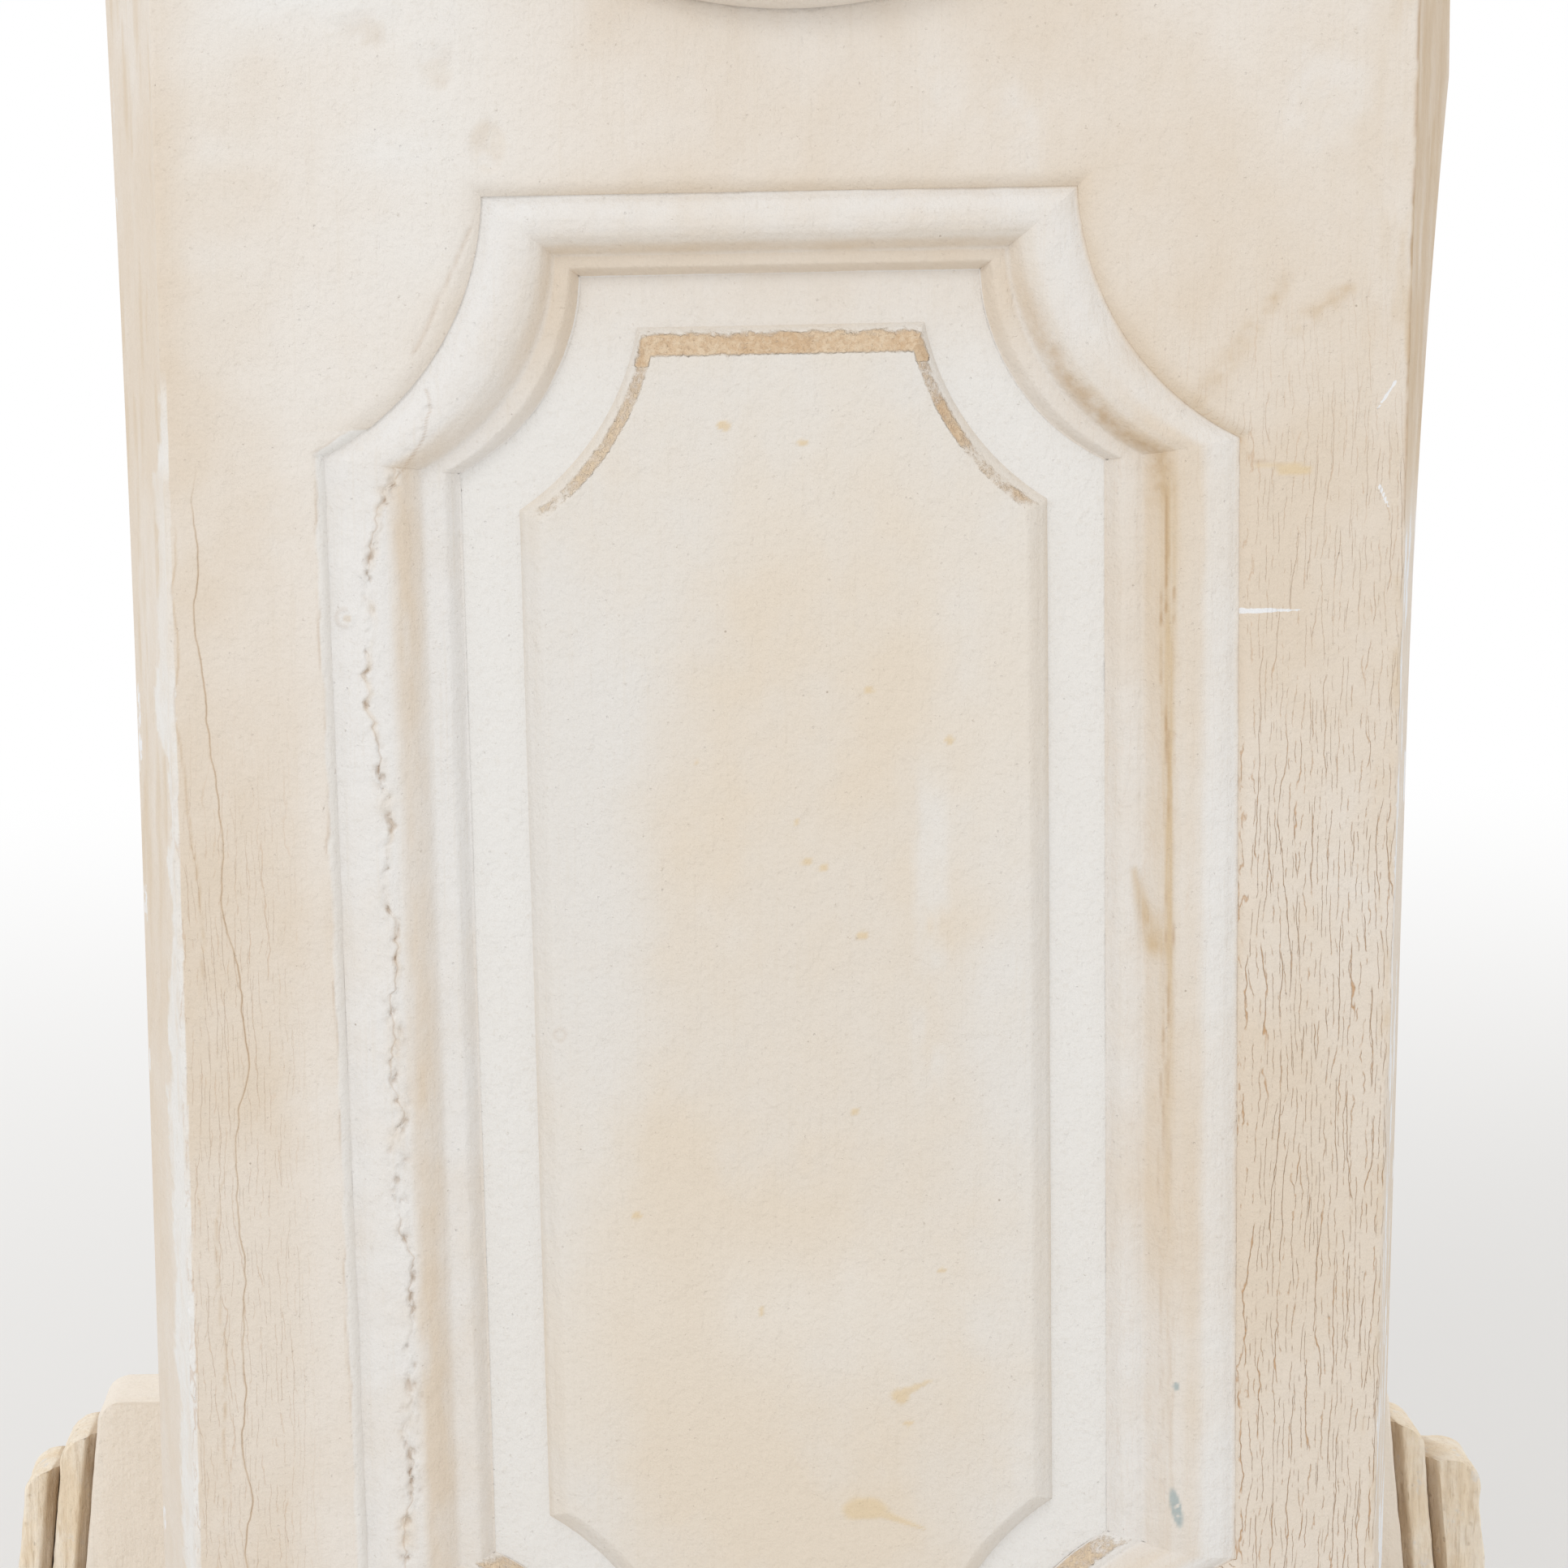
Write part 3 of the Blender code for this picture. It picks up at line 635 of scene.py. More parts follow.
# The split along the crest of the left stile: (height, share of the moulding's width)
STILE_CRACK = [
    (-0.160, 0.36),
    (-0.135, 0.34),
    (-0.111, 0.33),
    (-0.075, 0.38),
    (-0.055, 0.45),
    (-0.028, 0.38),
    (0.003, 0.36),
    (0.019, 0.42),
    (0.035, 0.35),
    (0.065, 0.30),
    (0.087, 0.27),
    (0.097, 0.31),
    (0.112, 0.52),
]
SCOOP_CRACK = [(-0.0677, 0.1253), (-0.0667, 0.1215), (-0.0684, 0.1162), (-0.0736, 0.1087)]
# The ochre streak down the right stile: (height, strength)
OCHRE_STREAK = [
    (-0.160, 0.22),
    (-0.115, 0.28),
    (-0.040, 0.34),
    (0.012, 0.90),
    (0.060, 1.15),
    (0.100, 1.05),
    (0.150, 0.30),
]
# A brown smear on the right stile, in metres from the part's origin
STILE_SMEAR = [(0.0690, 0.3112), (0.0700, 0.3060), (0.0716, 0.3005), (0.0728, 0.2968)]
BLUE_CHIPS = [(0.0783, 0.2072), (0.0788, 0.1817)]
OUTER_SHARE = -0.004
INNER_SHARE = 1.020
# Half the straight length of a stile, and how far up from the frame's centre the rows are fine
STRAIGHT_HALF = 0.1129
BOSS_REACH = 0.2033
SIGNS = [(-1, 1), (1, 1), (1, -1), (-1, -1)]


def spot(x, z, place, across, up):
    """A soft-edged oval mask about a place."""
    away = np.hypot((x - place[0]) / across, (z - place[1]) / up)
    return fall(away, 0.75, 1.15)


def frame_size(share):
    """Half width, half height and hollow corner of one line of the moulding."""
    circle = [outer + share * (inner - outer) for outer, inner in zip(OUTER_SCOOP, INNER_SCOOP)]
    return FRAME_HALF_WIDTH - share * STILE_WIDTH, FRAME_HALF_HEIGHT - share * RAIL_WIDTH, circle


def scoop_point(corner, share, t):
    """A point on the arc of a hollow corner; t runs clockwise round the frame."""
    half_width, half_height, (centre_across, centre_up, radius) = frame_size(share)
    start = np.arcsin((centre_across - half_width) / radius)
    end = np.arccos((centre_up - half_height) / radius)
    if corner % 2:
        t = 1.0 - t
    angle = start + (end - start) * t
    across = centre_across - radius * np.sin(angle)
    up = centre_up - radius * np.cos(angle)
    return SIGNS[corner][0] * across, SIGNS[corner][1] * up


def crack_share(up):
    """Where the split in the left stile lies in the moulding's width."""
    heights, shares = zip(*STILE_CRACK)
    still = np.zeros_like(up)
    wander = 0.050 * rough(up, still, 0.0075, 51) + 0.020 * rough(up, still, 0.0018, 52)
    return np.interp(up, heights, shares) + wander


def moulding_piece(name, across_up, shares, count, crack=False):
    """Lofts one length of moulding; across_up(share, t) gives its lines."""
    t = np.linspace(0.0, 1.0, count)[:, None]
    share = shares(t)
    a, u = across_up(share, t)
    x, z = from_frame(a, u)
    relief, marks = frame_marks(x, z, a, u, share)
    if crack:
        crack_marks(x, z, u, share, relief, marks)
    top = np.stack([x, FACE_Y + moulding_depth(share) - relief, z], axis=2)
    feet = top[:, [-1, 0]].copy()
    feet[:, :, 1] = FACE_Y + SUNK_DEPTH - GAP
    rings = np.concatenate([top, feet], axis=1)
    padded = {key: np.concatenate([value, np.zeros((count, 2))], axis=1) for key, value in marks.items()}
    add_rings(name + "_cast", rings, frame_paint, name, padded)


def plain_shares(t):
    """Lines spread evenly over the moulding's width."""
    return np.repeat(spaced(OUTER_SHARE, INNER_SHARE, 72, 0.3)[None, :], len(t), axis=0)


def crack_shares(t):
    """Lines that crowd together along the split in the left stile."""
    up = -STRAIGHT_HALF + 2.0 * STRAIGHT_HALF * t
    middle = crack_share(up)
    low = OUTER_SHARE + (middle - OUTER_SHARE) * spaced(0, 1, 40, 0.88)[None, :-1]
    high = middle + (INNER_SHARE - middle) * spaced(0, 1, 60, 0.88)[None, :]
    return np.concatenate([low, high], axis=1)


def crack_marks(x, z, u, share, relief, marks):
    """The split: an eroded, pitted band with a ragged lip on its outer side and a fine groove in places."""
    away = (share - crack_share(u[:, :1])) * STILE_WIDTH
    still = np.zeros_like(u)
    spell = patches(u, still, 0.014, 53, -0.35, 0.55)
    wide = 0.0006 + 0.0012 * patches(u, still, 0.024, 57, -0.3, 0.6)
    wide = wide + 0.0010 * rise(u, -0.050, -0.030) * fall(u, 0.0, 0.02)
    band = bell(away - 0.3 * wide, wide)
    crumbs = rough(x, z, (0.0014, 0.0020), 54)
    pits = band * rise(crumbs, 0.35, 0.80)
    lip = (0.00030 + 0.00025 * rough(x, z, 0.003, 58)) * fade(-away, 0.0022) * rise(-away, -0.0002, 0.0009)
    groove = bell(away, 0.00017) * spell
    relief += lip - band * (0.00018 + 0.00042 * crumbs) - 0.00009 * groove - 0.00034 * pits
    marks["scar"] = np.maximum(marks["scar"], 0.26 * groove + 0.24 * pits)
    marks["white"] = np.maximum(marks["white"], 0.35 * band * rise(-crumbs, -0.1, 0.4))
    marks["tan"] = np.maximum(marks["tan"], 0.60 * band * patches(x, z, 0.009, 56, -0.5, 0.4))


def frame_marks(x, z, a, u, share):
    """Relief and wear of the moulding; share runs from its outer foot to its inner one."""
    relief = 0.00016 * rough(x, z, 0.012, 31) + 0.00008 * rough(x, z, 0.003, 32)
    inner = rise(share, 0.42, 0.56) * fall(share, 0.69, 0.77)
    top = rise(u, 0.100, 0.140)
    right = rise(a, 0.030, 0.062)
    cloud = patchy(x, z, 0.025, 33, 0.5, 0.5, 0, 1)
    left = rise(-a, 0.055, 0.075) * (1 - top)
    shelf = rise(share, 0.41, 0.57) * fall(share, 0.60, 0.78)
    shelf = shelf * patchy(x, z, (0.0016, 0.009), 86, 0.85, 0.40, 0.3, 1.15)

    # Warm hollows
    tan = inner * (0.10 + 0.10 * top + 0.25 * cloud)
    tan = tan + 0.35 * top * cloud * rise(share, 0.15, 0.40) * (1 - right)
    tan = tan + left * shelf * (0.45 + 0.35 * cloud) + 0.65 * top * rise(share, 0.72, 0.78)
    tan = tan + 0.55 * right * (1 - top) * bell(share - 0.38, 0.10)

    # The ochre streak in the right stile, with threads of grime in it
    heights, strengths = zip(*OCHRE_STREAK)
    strength = np.interp(u, heights, strengths) * right
    strands = 0.75 + 0.45 * rough(share * STILE_WIDTH, u, (0.0006, 0.030), 34)
    streak = bell(share - 0.56, 0.070) * np.clip(strands, 0.2, 1.2)
    wavering = share + 0.012 * rough(u, 0 * u, 0.014, 79) + 0.006 * rough(u, 0 * u, 0.004, 80)
    threads = sum(bell(wavering - place, 0.007) for place in (0.525, 0.555, 0.583, 0.612))
    threads = threads * patches(wavering * STILE_WIDTH, u, (0.0006, 0.016), 81, -0.25, 0.45) * strength
    halo = 0.35 * bell(share - 0.58, 0.16)
    lower_scoop = right * rise(u, 0.100, 0.112) * fall(u, 0.125, 0.146)
    ochre = strength * np.maximum(streak, halo) * (1 - 0.45 * lower_scoop)
    ochre = ochre + top * inner * (0.05 + 0.15 * cloud)

    # Dust that lies on the bottom rail's inner slope
    bottom = rise(-u, 0.1085, 0.1105)
    ledge = bottom * rise(share, 0.80, 0.86)
    dust = ledge * (0.70 + 0.3 * rough(x, z, 0.004, 35))

    # The split in the upper left scoop
    wandering = 0.0004 * rough(a, u, 0.004, 37)
    scoop_crack, _ = path_distance(a + wandering, u, SCOOP_CRACK)
    split = bell(scoop_crack, 0.00018) * (a < 0) * (u > 0.1075)
    flaked = bell(scoop_crack, 0.0016) * patches(x, z, 0.003, 38, 0.0, 0.4) * (a < 0)
    relief = relief - 0.00012 * split - 0.00022 * flaked * (1 + rough(x, z, 0.0015, 85))

    # A smear, and grime in the upper right scoop
    smear, along = path_distance(x, z, STILE_SMEAR)
    stain = bell(smear, 0.0009 + 0.0011 * along) * patchy(x, z, (0.0015, 0.004), 40, 0.8, 0.4, 0, 1)
    ochre = ochre + 0.8 * stain
    grime = right * rise(u, 0.098, 0.106) * fall(u, 0.128, 0.150)
    grime = grime * bell(share - 0.62, 0.085) * patchy(x, z, (0.0018, 0.0018), 82, 0.75, 0.55, 0.0, 1.1)
    ochre = ochre + 0.55 * grime
    scar = 0.35 * split + 0.08 * stain + 0.60 * threads * fall(u, 0.100, 0.108) + 0.34 * grime

    # The outer foot, a pock, blue chips and a drip
    crease = fall(share, 0.0, 0.05)
    tan = tan + crease * 0.6 * rise(a, 0.0, 0.06)
    foot_line = patches(u, 0 * u, 0.008, 39, -0.6, 0.2)
    scar = scar + 0.22 * fall(share, 0.0, 0.012) * rise(a, 0.055, 0.075) * foot_line
    pock = np.abs(np.hypot(x + 0.0835, z - 0.3626) - 0.0017)
    rim = bell(pock, 0.0004)
    relief = relief + 0.00025 * rim
    ochre = ochre + 0.6 * spot(x, z, (-0.0831, 0.3624), 0.0008, 0.0008)
    upper_chip, lower_chip = BLUE_CHIPS
    leaning_x = x + 0.2 * (z - lower_chip[1])
    blue = spot(x, z, upper_chip, 0.0006, 0.0009) + spot(leaning_x, z, lower_chip, 0.0011, 0.0042)
    grain = patches(x, z, 0.0012, 36, -0.9, -0.3)
    drip = 0.7 * spot(x, z, (0.0737, 0.4138), 0.0030, 0.0018)
    return relief, {
        "tan": tan,
        "ochre": ochre,
        "dust": dust,
        "scar": scar + 0.15 * rim * (x < -0.083),
        "blue": blue * grain,
        "drip": drip,
        "crackle": 0.10 * right + 0 * x,
        # White mark: whiter worn paint; on the right stile's outer slope partly whiter paint and partly
        # painted highlight, and under the top rail's crest painted highlight that offsets the shade of that
        # downward-facing slope
        "white": 0.25 * (1 - inner) * (1 - cloud)
        + 0.30 * right * (1 - top) * fall(share, 0.24, 0.32)
        + 0.40 * top * bell(share - 0.55, 0.07),
    }


def build_frame():
    """Four hollow corners and four straight lengths, in order clockwise from the top left."""
    corners = ("top_left", "top_right", "bottom_right", "bottom_left")
    lengths = ("top", "right", "bottom", "left")
    for corner in range(4):

        def hollow(share, t, corner=corner):
            return scoop_point(corner, share, t)

        def straight(share, t, corner=corner):
            ax, au = scoop_point(corner, share, 1.0)
            bx, bu = scoop_point((corner + 1) % 4, share, 0.0)
            return ax + (bx - ax) * t, au + (bu - au) * t

        moulding_piece("frame_scoop_" + corners[corner], hollow, plain_shares, 170)
        cracked = lengths[corner] == "left"
        shares = crack_shares if cracked else plain_shares
        count = 220 if corner % 2 == 0 else 560
        moulding_piece("frame_" + lengths[corner], straight, shares, count, cracked)


# ------------------------------------------------------------------ face casting


# The long split in the left of the field, (height, x), and the marks of wear on the face, all in metres
FIELD_CRACK = [
    (0.1708, -0.1060),
    (0.2186, -0.1067),
    (0.2319, -0.1054),
    (0.2534, -0.1074),
    (0.2599, -0.1065),
    (0.2660, -0.1054),
    (0.2756, -0.1042),
    (0.2848, -0.1047),
    (0.2997, -0.1073),
    (0.3137, -0.1081),
    (0.3266, -0.1088),
    (0.3405, -0.1095),
    (0.3520, -0.1107),
    (0.3700, -0.1115),
    (0.3900, -0.1108),
]
FLAKED_EDGE = [(-0.0587, 0.4355), (-0.0609, 0.4307), (-0.0640, 0.4240), (-0.0660, 0.4195), (-0.0695, 0.4127)]
SMUDGES = [
    [(0.0957, 0.4269), (0.0942, 0.4240), (0.0903, 0.4183), (0.0847, 0.4112), (0.0791, 0.4040)],
    [(0.1072, 0.4244), (0.1032, 0.4215), (0.0968, 0.4176)],
]
HAIRLINE = [(0.0889, 0.3919), (0.0951, 0.3910)]
SCRATCHES = [
    [(0.0879, 0.3628), (0.0950, 0.3632), (0.1021, 0.3634)],
    [(0.1165, 0.4066), (0.1131, 0.4014)],
    [(0.1140, 0.3870), (0.1165, 0.3815)],
]
# Shallow dents: (x, height, half width, half height)
FIELD_DENTS = [
    (-0.0759, 0.4723, 0.0060, 0.0040),
    (-0.0641, 0.4657, 0.0030, 0.0050),
    (-0.0553, 0.4509, 0.0035, 0.0050),
]
# Bare plaster on the left return beside the arris: (height, reach back from the face, strength)
BARE_STRIP = [
    (0.280, 0.020, 0.85),
    (0.294, 0.009, 0.75),
    (0.334, 0.008, 0.70),
    (0.338, 0.026, 0.75),
    (0.350, 0.026, 0.75),
    (0.354, 0.014, 0.45),
    (0.388, 0.014, 0.35),
    (0.392, 0.006, 0.75),
    (0.407, 0.005, 0.60),
    (0.410, 0.004, 0.0),
]


def face_rows():
    """Heights of the rows of the face in the frame's own axes, crowded at its edges."""
    half = FRAME_HALF_HEIGHT
    low = (CASTING_LOW + GAP - FRAME_Z) / math.cos(FRAME_TILT)
    high = (CASTING_HIGH - FRAME_Z) / math.cos(FRAME_TILT)
    keys = [
        (low, -half, 50, 0.6),
        (-half, -STRAIGHT_HALF, 90, 0.4),
        (-STRAIGHT_HALF, STRAIGHT_HALF, 300, 0.0),
        (STRAIGHT_HALF, half, 100, 0.4),
        (half, BOSS_REACH, 80, 0.7),
        (BOSS_REACH, high, 66, 0.0),
    ]
    rows = [spaced(a, b, count, ends)[:-1] for a, b, count, ends in keys]
    return np.concatenate(rows + [[high]])


def field_crack_x(z):
    """Where the split in the field runs."""
    heights, places = zip(*FIELD_CRACK)
    still = np.zeros_like(z)
    middle = np.interp(z, heights, places)
    return middle + 0.0008 * rough(z, still, 0.011, 15) + 0.0002 * rough(z, still, 0.003, 16)


def field_crack_strength(z):
    """The split in the field dies away at both its ends."""
    return rise(z, 0.150, 0.170) * fall(z, 0.376, 0.394)


def beside_left_stile(a, u):
    """The field next to the left stile, where white paint is lapped on to it."""
    return rise(-a, 0.070, 0.080) * (np.abs(u) < 0.118)


def build_front_casting():
    """The face, its splayed returns, its hollow back, and the sinking for the frame."""
    rows = face_rows()
    outline = frame_size(0.0)
    wide = half_width_at(rows, *outline)
    tilt = 1.0 - rise(np.abs(rows), FRAME_HALF_HEIGHT + 0.002, 0.209)
    cosine, sine = math.cos(FRAME_TILT), math.sin(FRAME_TILT)
    left = FRAME_X - wide * cosine - rows * sine
    right = FRAME_X + wide * cosine - rows * sine
    crack = field_crack_x(FRAME_Z + rows * cosine - tilt * sine * 0.108)
    across = FACE_HALF_WIDTH - FRAME_X + rows * sine
    end_z = np.clip(FRAME_Z + rows * cosine + tilt * sine * across / cosine, CASTING_LOW + GAP, CASTING_HIGH)
    far_edge = FACE_HALF_WIDTH + right_extra(end_z)[0]
    edges = [np.full_like(rows, -FACE_HALF_WIDTH), crack, left, right, far_edge]
    counts = [(34, 0.85), (50, 0.85), (100, 0.5), (90, 0.85)]
    columns = []
    for start, end, (count, ends) in zip(edges, edges[1:], counts):
        columns.append(start[:, None] + (end - start)[:, None] * spaced(0, 1, count, ends)[None, :-1])
    x = np.concatenate(columns + [edges[-1][:, None]], axis=1)
    first = columns[0].shape[1] + columns[1].shape[1]
    last = first + columns[2].shape[1]
    level = FRAME_Z + rows[:, None] * cosine
    z = level + tilt[:, None] * sine * (x - FRAME_X + rows[:, None] * sine) / cosine
    z = np.clip(z, CASTING_LOW + GAP, CASTING_HIGH)
    relief = face_relief(x, z)
    front = np.stack([x, FACE_Y - np.minimum(relief, 0.0), z], axis=2)

    zs = z[:, -1]
    back = FACE_Y + return_depth(zs)
    outer = FACE_HALF_WIDTH + return_depth(zs) * SPLAY
    far_outer = outer + right_extra(zs)[1]
    wall = np.full_like(zs, FACE_Y + FACE_WALL)
    inner = np.full_like(zs, RETURN_INNER)

    def between(start, end, height, count, ends=0.0):
        share = spaced(0, 1, count, ends)[None, 1:, None]
        a0 = np.stack([start[0], start[1], height], axis=1)[:, None]
        b0 = np.stack([end[0], end[1], height], axis=1)[:, None]
        return a0 + (b0 - a0) * share

    arris_right = (front[:, -1, 0], front[:, -1, 1])
    arris_left = (front[:, 0, 0], front[:, 0, 1])
    sides = [
        between(arris_right, (far_outer, back), zs, 40, 0.6),
        between((far_outer, back), (inner, back), zs, 8),
        between((inner, back), (inner, wall), zs, 5),
        between((inner, wall), (-inner, wall), zs, 10),
        between((-inner, wall), (-inner, back), zs, 5),
        between((-inner, back), (-outer, back), zs, 8),
        between((-outer, back), arris_left, z[:, 0], 40, 0.6)[:, :-1],
    ]
    for side, sign in ((sides[0], 1), (sides[-1], -1)):
        wave = 0.00016 * rough(side[:, :, 1], side[:, :, 2], (0.012, 0.03), 17 + sign)
        away = rise(side[:, :, 1] - FACE_Y, 0.0, 0.004) * rise(FACE_Y + 0.049 - side[:, :, 1], 0.0, 0.004)
        side[:, :, 0] -= sign * (0.0001 + np.abs(wave)) * away
    points = np.concatenate([front] + sides, axis=1)
    ring = points.shape[1]
    numbers = np.arange(len(rows) * ring).reshape(len(rows), ring)
    low_row = int(np.argmin(np.abs(rows + FRAME_HALF_HEIGHT)))
    high_row = int(np.argmin(np.abs(rows - FRAME_HALF_HEIGHT)))
    keep = np.ones((len(rows) - 1, ring), bool)
    keep[low_row:high_row, first:last] = False
    quads = grid_faces(numbers, closed=True).reshape(len(rows) - 1, ring, 4)[keep]

    # The sinking: its walls and its floor
    floor = front[low_row : high_row + 1, first : last + 1].copy()
    wave = 0.5 + 0.5 * rough(floor[:, :, 0], floor[:, :, 2], 0.03, 14)
    floor[:, :, 1] = FACE_Y + SUNK_DEPTH - 0.00015 * np.clip(wave, 0, 1)
    floor_numbers = np.arange(floor[:, :, 0].size).reshape(floor.shape[:2]) + numbers.size
    rim = loop_round(numbers[low_row : high_row + 1, first : last + 1])
    walls = strip_faces(rim, loop_round(floor_numbers), closed=True)
    everything = np.concatenate([points.reshape(-1, 3), floor.reshape(-1, 3)])
    add_piece(
        "front_casting_cast",
        everything,
        np.concatenate([quads, grid_faces(floor_numbers), walls]),
        face_paint,
        ["front_casting"],
        [numbers[0], numbers[-1]],
        face_marks(everything),
        sharp=50.0,
    )


def arris_wear(z):
    """Where the paint and the edge are knocked off the left arris, from 0 to 1."""
    heights, _, strengths = zip(*BARE_STRIP)
    return np.interp(z, heights, strengths)


def face_relief(x, z):
    """Height of the painted face above its true plane, always at or under it."""
    a, u = to_frame(x, z)
    margin = np.maximum(-inside_depth(a, u, *frame_size(0.0)), 0.0)
    relief = 0.00020 * rough(x, z, 0.07, 11) + 0.00006 * rough(x, z, 0.011, 12) - 0.0003
    soft = 0.0030 + 0.0005 * rough(x, z, 0.012, 13) + 0.0010 * rise(-x, 0.045, 0.060) * rise(z, 0.39, 0.40)
    by_stile = beside_left_stile(a, u)
    soft = soft * (1 - 0.30 * by_stile)
    relief = relief - (0.0014 + 0.0005 * by_stile) * np.clip(1 - margin / soft, 0, 1) ** 2
    away = x - field_crack_x(z)
    here = field_crack_strength(z)
    relief = relief - 0.00007 * bell(away, 0.00016) * here * (0.5 + rise(np.abs(z - 0.33), 0.0, 0.02))
    relief = relief + 0.00010 * fade(-away, 0.0015) * (away < 0) * here
    for place_x, place_z, across, up in FIELD_DENTS:
        dent = spot(x, z, (place_x, place_z), across, up)
        relief = relief - 0.0004 * dent * (0.7 + 0.5 * rough(x, z, 0.003, 18))
    flake, _ = path_distance(x, z, FLAKED_EDGE)
    relief = relief - 0.0003 * bell(flake, 0.0005)
    edge = arris_distance(x, z)
    nick = np.clip(0.35 + 0.45 * rough(x, z, (0.01, 0.006), 19) + 0.9 * arris_wear(z) * (x < 0), 0.15, 1.6)
    return relief - 0.0011 * nick * np.clip(1 - edge / (0.0011 * nick + 0.0003), 0, 1) ** 2


def face_marks(points):
    """Wear and dirt of the face, the returns and the floor of the sinking."""
    x, y, z = points.T
    front = fall(y, FACE_Y + 0.004, FACE_Y + 0.006)
    a, u = to_frame(x, z)
    margin = -inside_depth(a, u, *frame_size(0.0))

    # Yellowed areas, and white paint lapped on beside the left stile
    right = rise(x, 0.055, 0.095) * rise(0.45 - z, 0.0, 0.08)
    left = rise(-x, 0.088, 0.100)
    low = rise(0.36 - z, 0.0, 0.06)
    cloud = 0.5 + 0.5 * rough(x, z, (0.02, 0.05), 61)
    tan = right * (0.42 + 0.28 * cloud) + left * (0.28 + 0.26 * low * cloud)
    by_stile = beside_left_stile(a, u) * front
    ragged = margin + 0.0004 * rough(x, z, (0.002, 0.006), 83)
    lapped = by_stile * fall(ragged, 0.0016, 0.0022)
    tan = np.maximum(tan, 0.75 * fade(margin, 0.003) * rise(z, 0.17, 0.30) * (1 - 0.8 * by_stile))
    tan = tan * (1 - 0.9 * lapped)
    crackle = right * (0.55 + 0.6 * low) + 0.40 * left * low

    # The returns, and what is chipped off their edges and the arrises
    edge = arris_distance(x, z)
    returns = rise(y, FACE_Y + 0.0001, FACE_Y + 0.0015) * (edge < 0.0005)
    back_edge = FACE_HALF_WIDTH + return_depth(z) * SPLAY - np.abs(x)
    returns = returns * (y - FACE_Y < return_depth(z) - 0.0006)
    far = returns * (x > 0)
    near_side = returns * (x < 0)
    near = fade(edge, 0.0016) * fall(y - FACE_Y, 0.001, 0.004)
    broken = 0.55 + 0.5 * rough(x, z, (0.004, 0.010), 62)
    chip = near * np.where(x < 0, 0.30 + 0.35 * arris_wear(z), 0.45) * broken
    heights, reaches, _ = zip(*BARE_STRIP)
    reach = np.interp(z, heights, reaches)
    reach = reach + 0.004 * rough(x * 0, z, (0.01, 0.008), 68) + 0.003 * rough(y, z, 0.003, 70)
    strip = rise(reach - (y - FACE_Y), -0.0015, 0.0015) * (edge < 0.0012) * (x < 0) * arris_wear(z)
    strip = strip * patchy(y, z, (0.004, 0.006), 71, 0.95, 0.55, 0.2, 1.0)
    back_chip = near_side * rise(0.0022 - back_edge, 0.0, 0.0012)
    back_chip = back_chip * patches(y, z, (0.007, 0.011), 75, 0.30, 0.55)
    far_chip = far * patches(1.5 * y, z, (0.008, 0.014), 74, 0.05, 0.35) * fall(z, 0.372, 0.388)
    chip = np.maximum(chip, np.maximum(0.50 * back_chip, 0.62 * far_chip))

    # Scratches, splits, dents and smudges
    for scratch in SCRATCHES:
        away, along = path_distance(x, z, scratch)
        thick = (0.0006 if scratch[0][1] < 0.37 else 0.00035) * (1.05 - 0.7 * along)
        chip = np.maximum(chip, bell(away, thick) * front)
    here = field_crack_strength(z)
    crack = bell(x - field_crack_x(z), 0.00016) * here
    twin = bell(x - field_crack_x(z + 0.017) + 0.0042, 0.00020) * here
    twin = twin * patches(z, 0 * z, 0.03, 78, -0.5, 0.1)
    hair, _ = path_distance(x, z, HAIRLINE)
    flake, _ = path_distance(x, z, FLAKED_EDGE)
    dents = sum(spot(x, z, (d[0], d[1]), d[2], d[3]) for d in FIELD_DENTS)
    scar = (0.46 * crack + 0.26 * twin) * patchy(z, 0 * z, 0.01, 69, 0.75, 0.5, 0.2, 1)
    smear = 0.0
    for path in SMUDGES:
        away, along = path_distance(x, z, path)
        smear = np.maximum(smear, bell(away, 0.0013 + 0.0010 * along) * (1.0 - 0.55 * along))
    smear = smear * patchy(x, z, (0.0022, 0.0022), 63, 0.60, 0.8, 0.1, 1.0)
    dirty_edge = fade(edge, 0.0045) * (x > 0) * rise(z, 0.36, 0.42)
    dirty_edge = dirty_edge * patches(x, z, (0.003, 0.012), 65, -0.6, 0.6)
    lap_edge = by_stile * bell(ragged - 0.0020, 0.00022) * patches(z, 0 * z, 0.012, 84, -0.5, 0.3)
    scar = scar + 0.30 * lap_edge
    scar = scar + 0.3 * bell(hair, 0.0003) + 0.22 * bell(flake, 0.00035) + 0.12 * smear
    scar = (scar + 0.07 * dents * patches(x, z, 0.003, 64, -0.1, 0.5)) * front

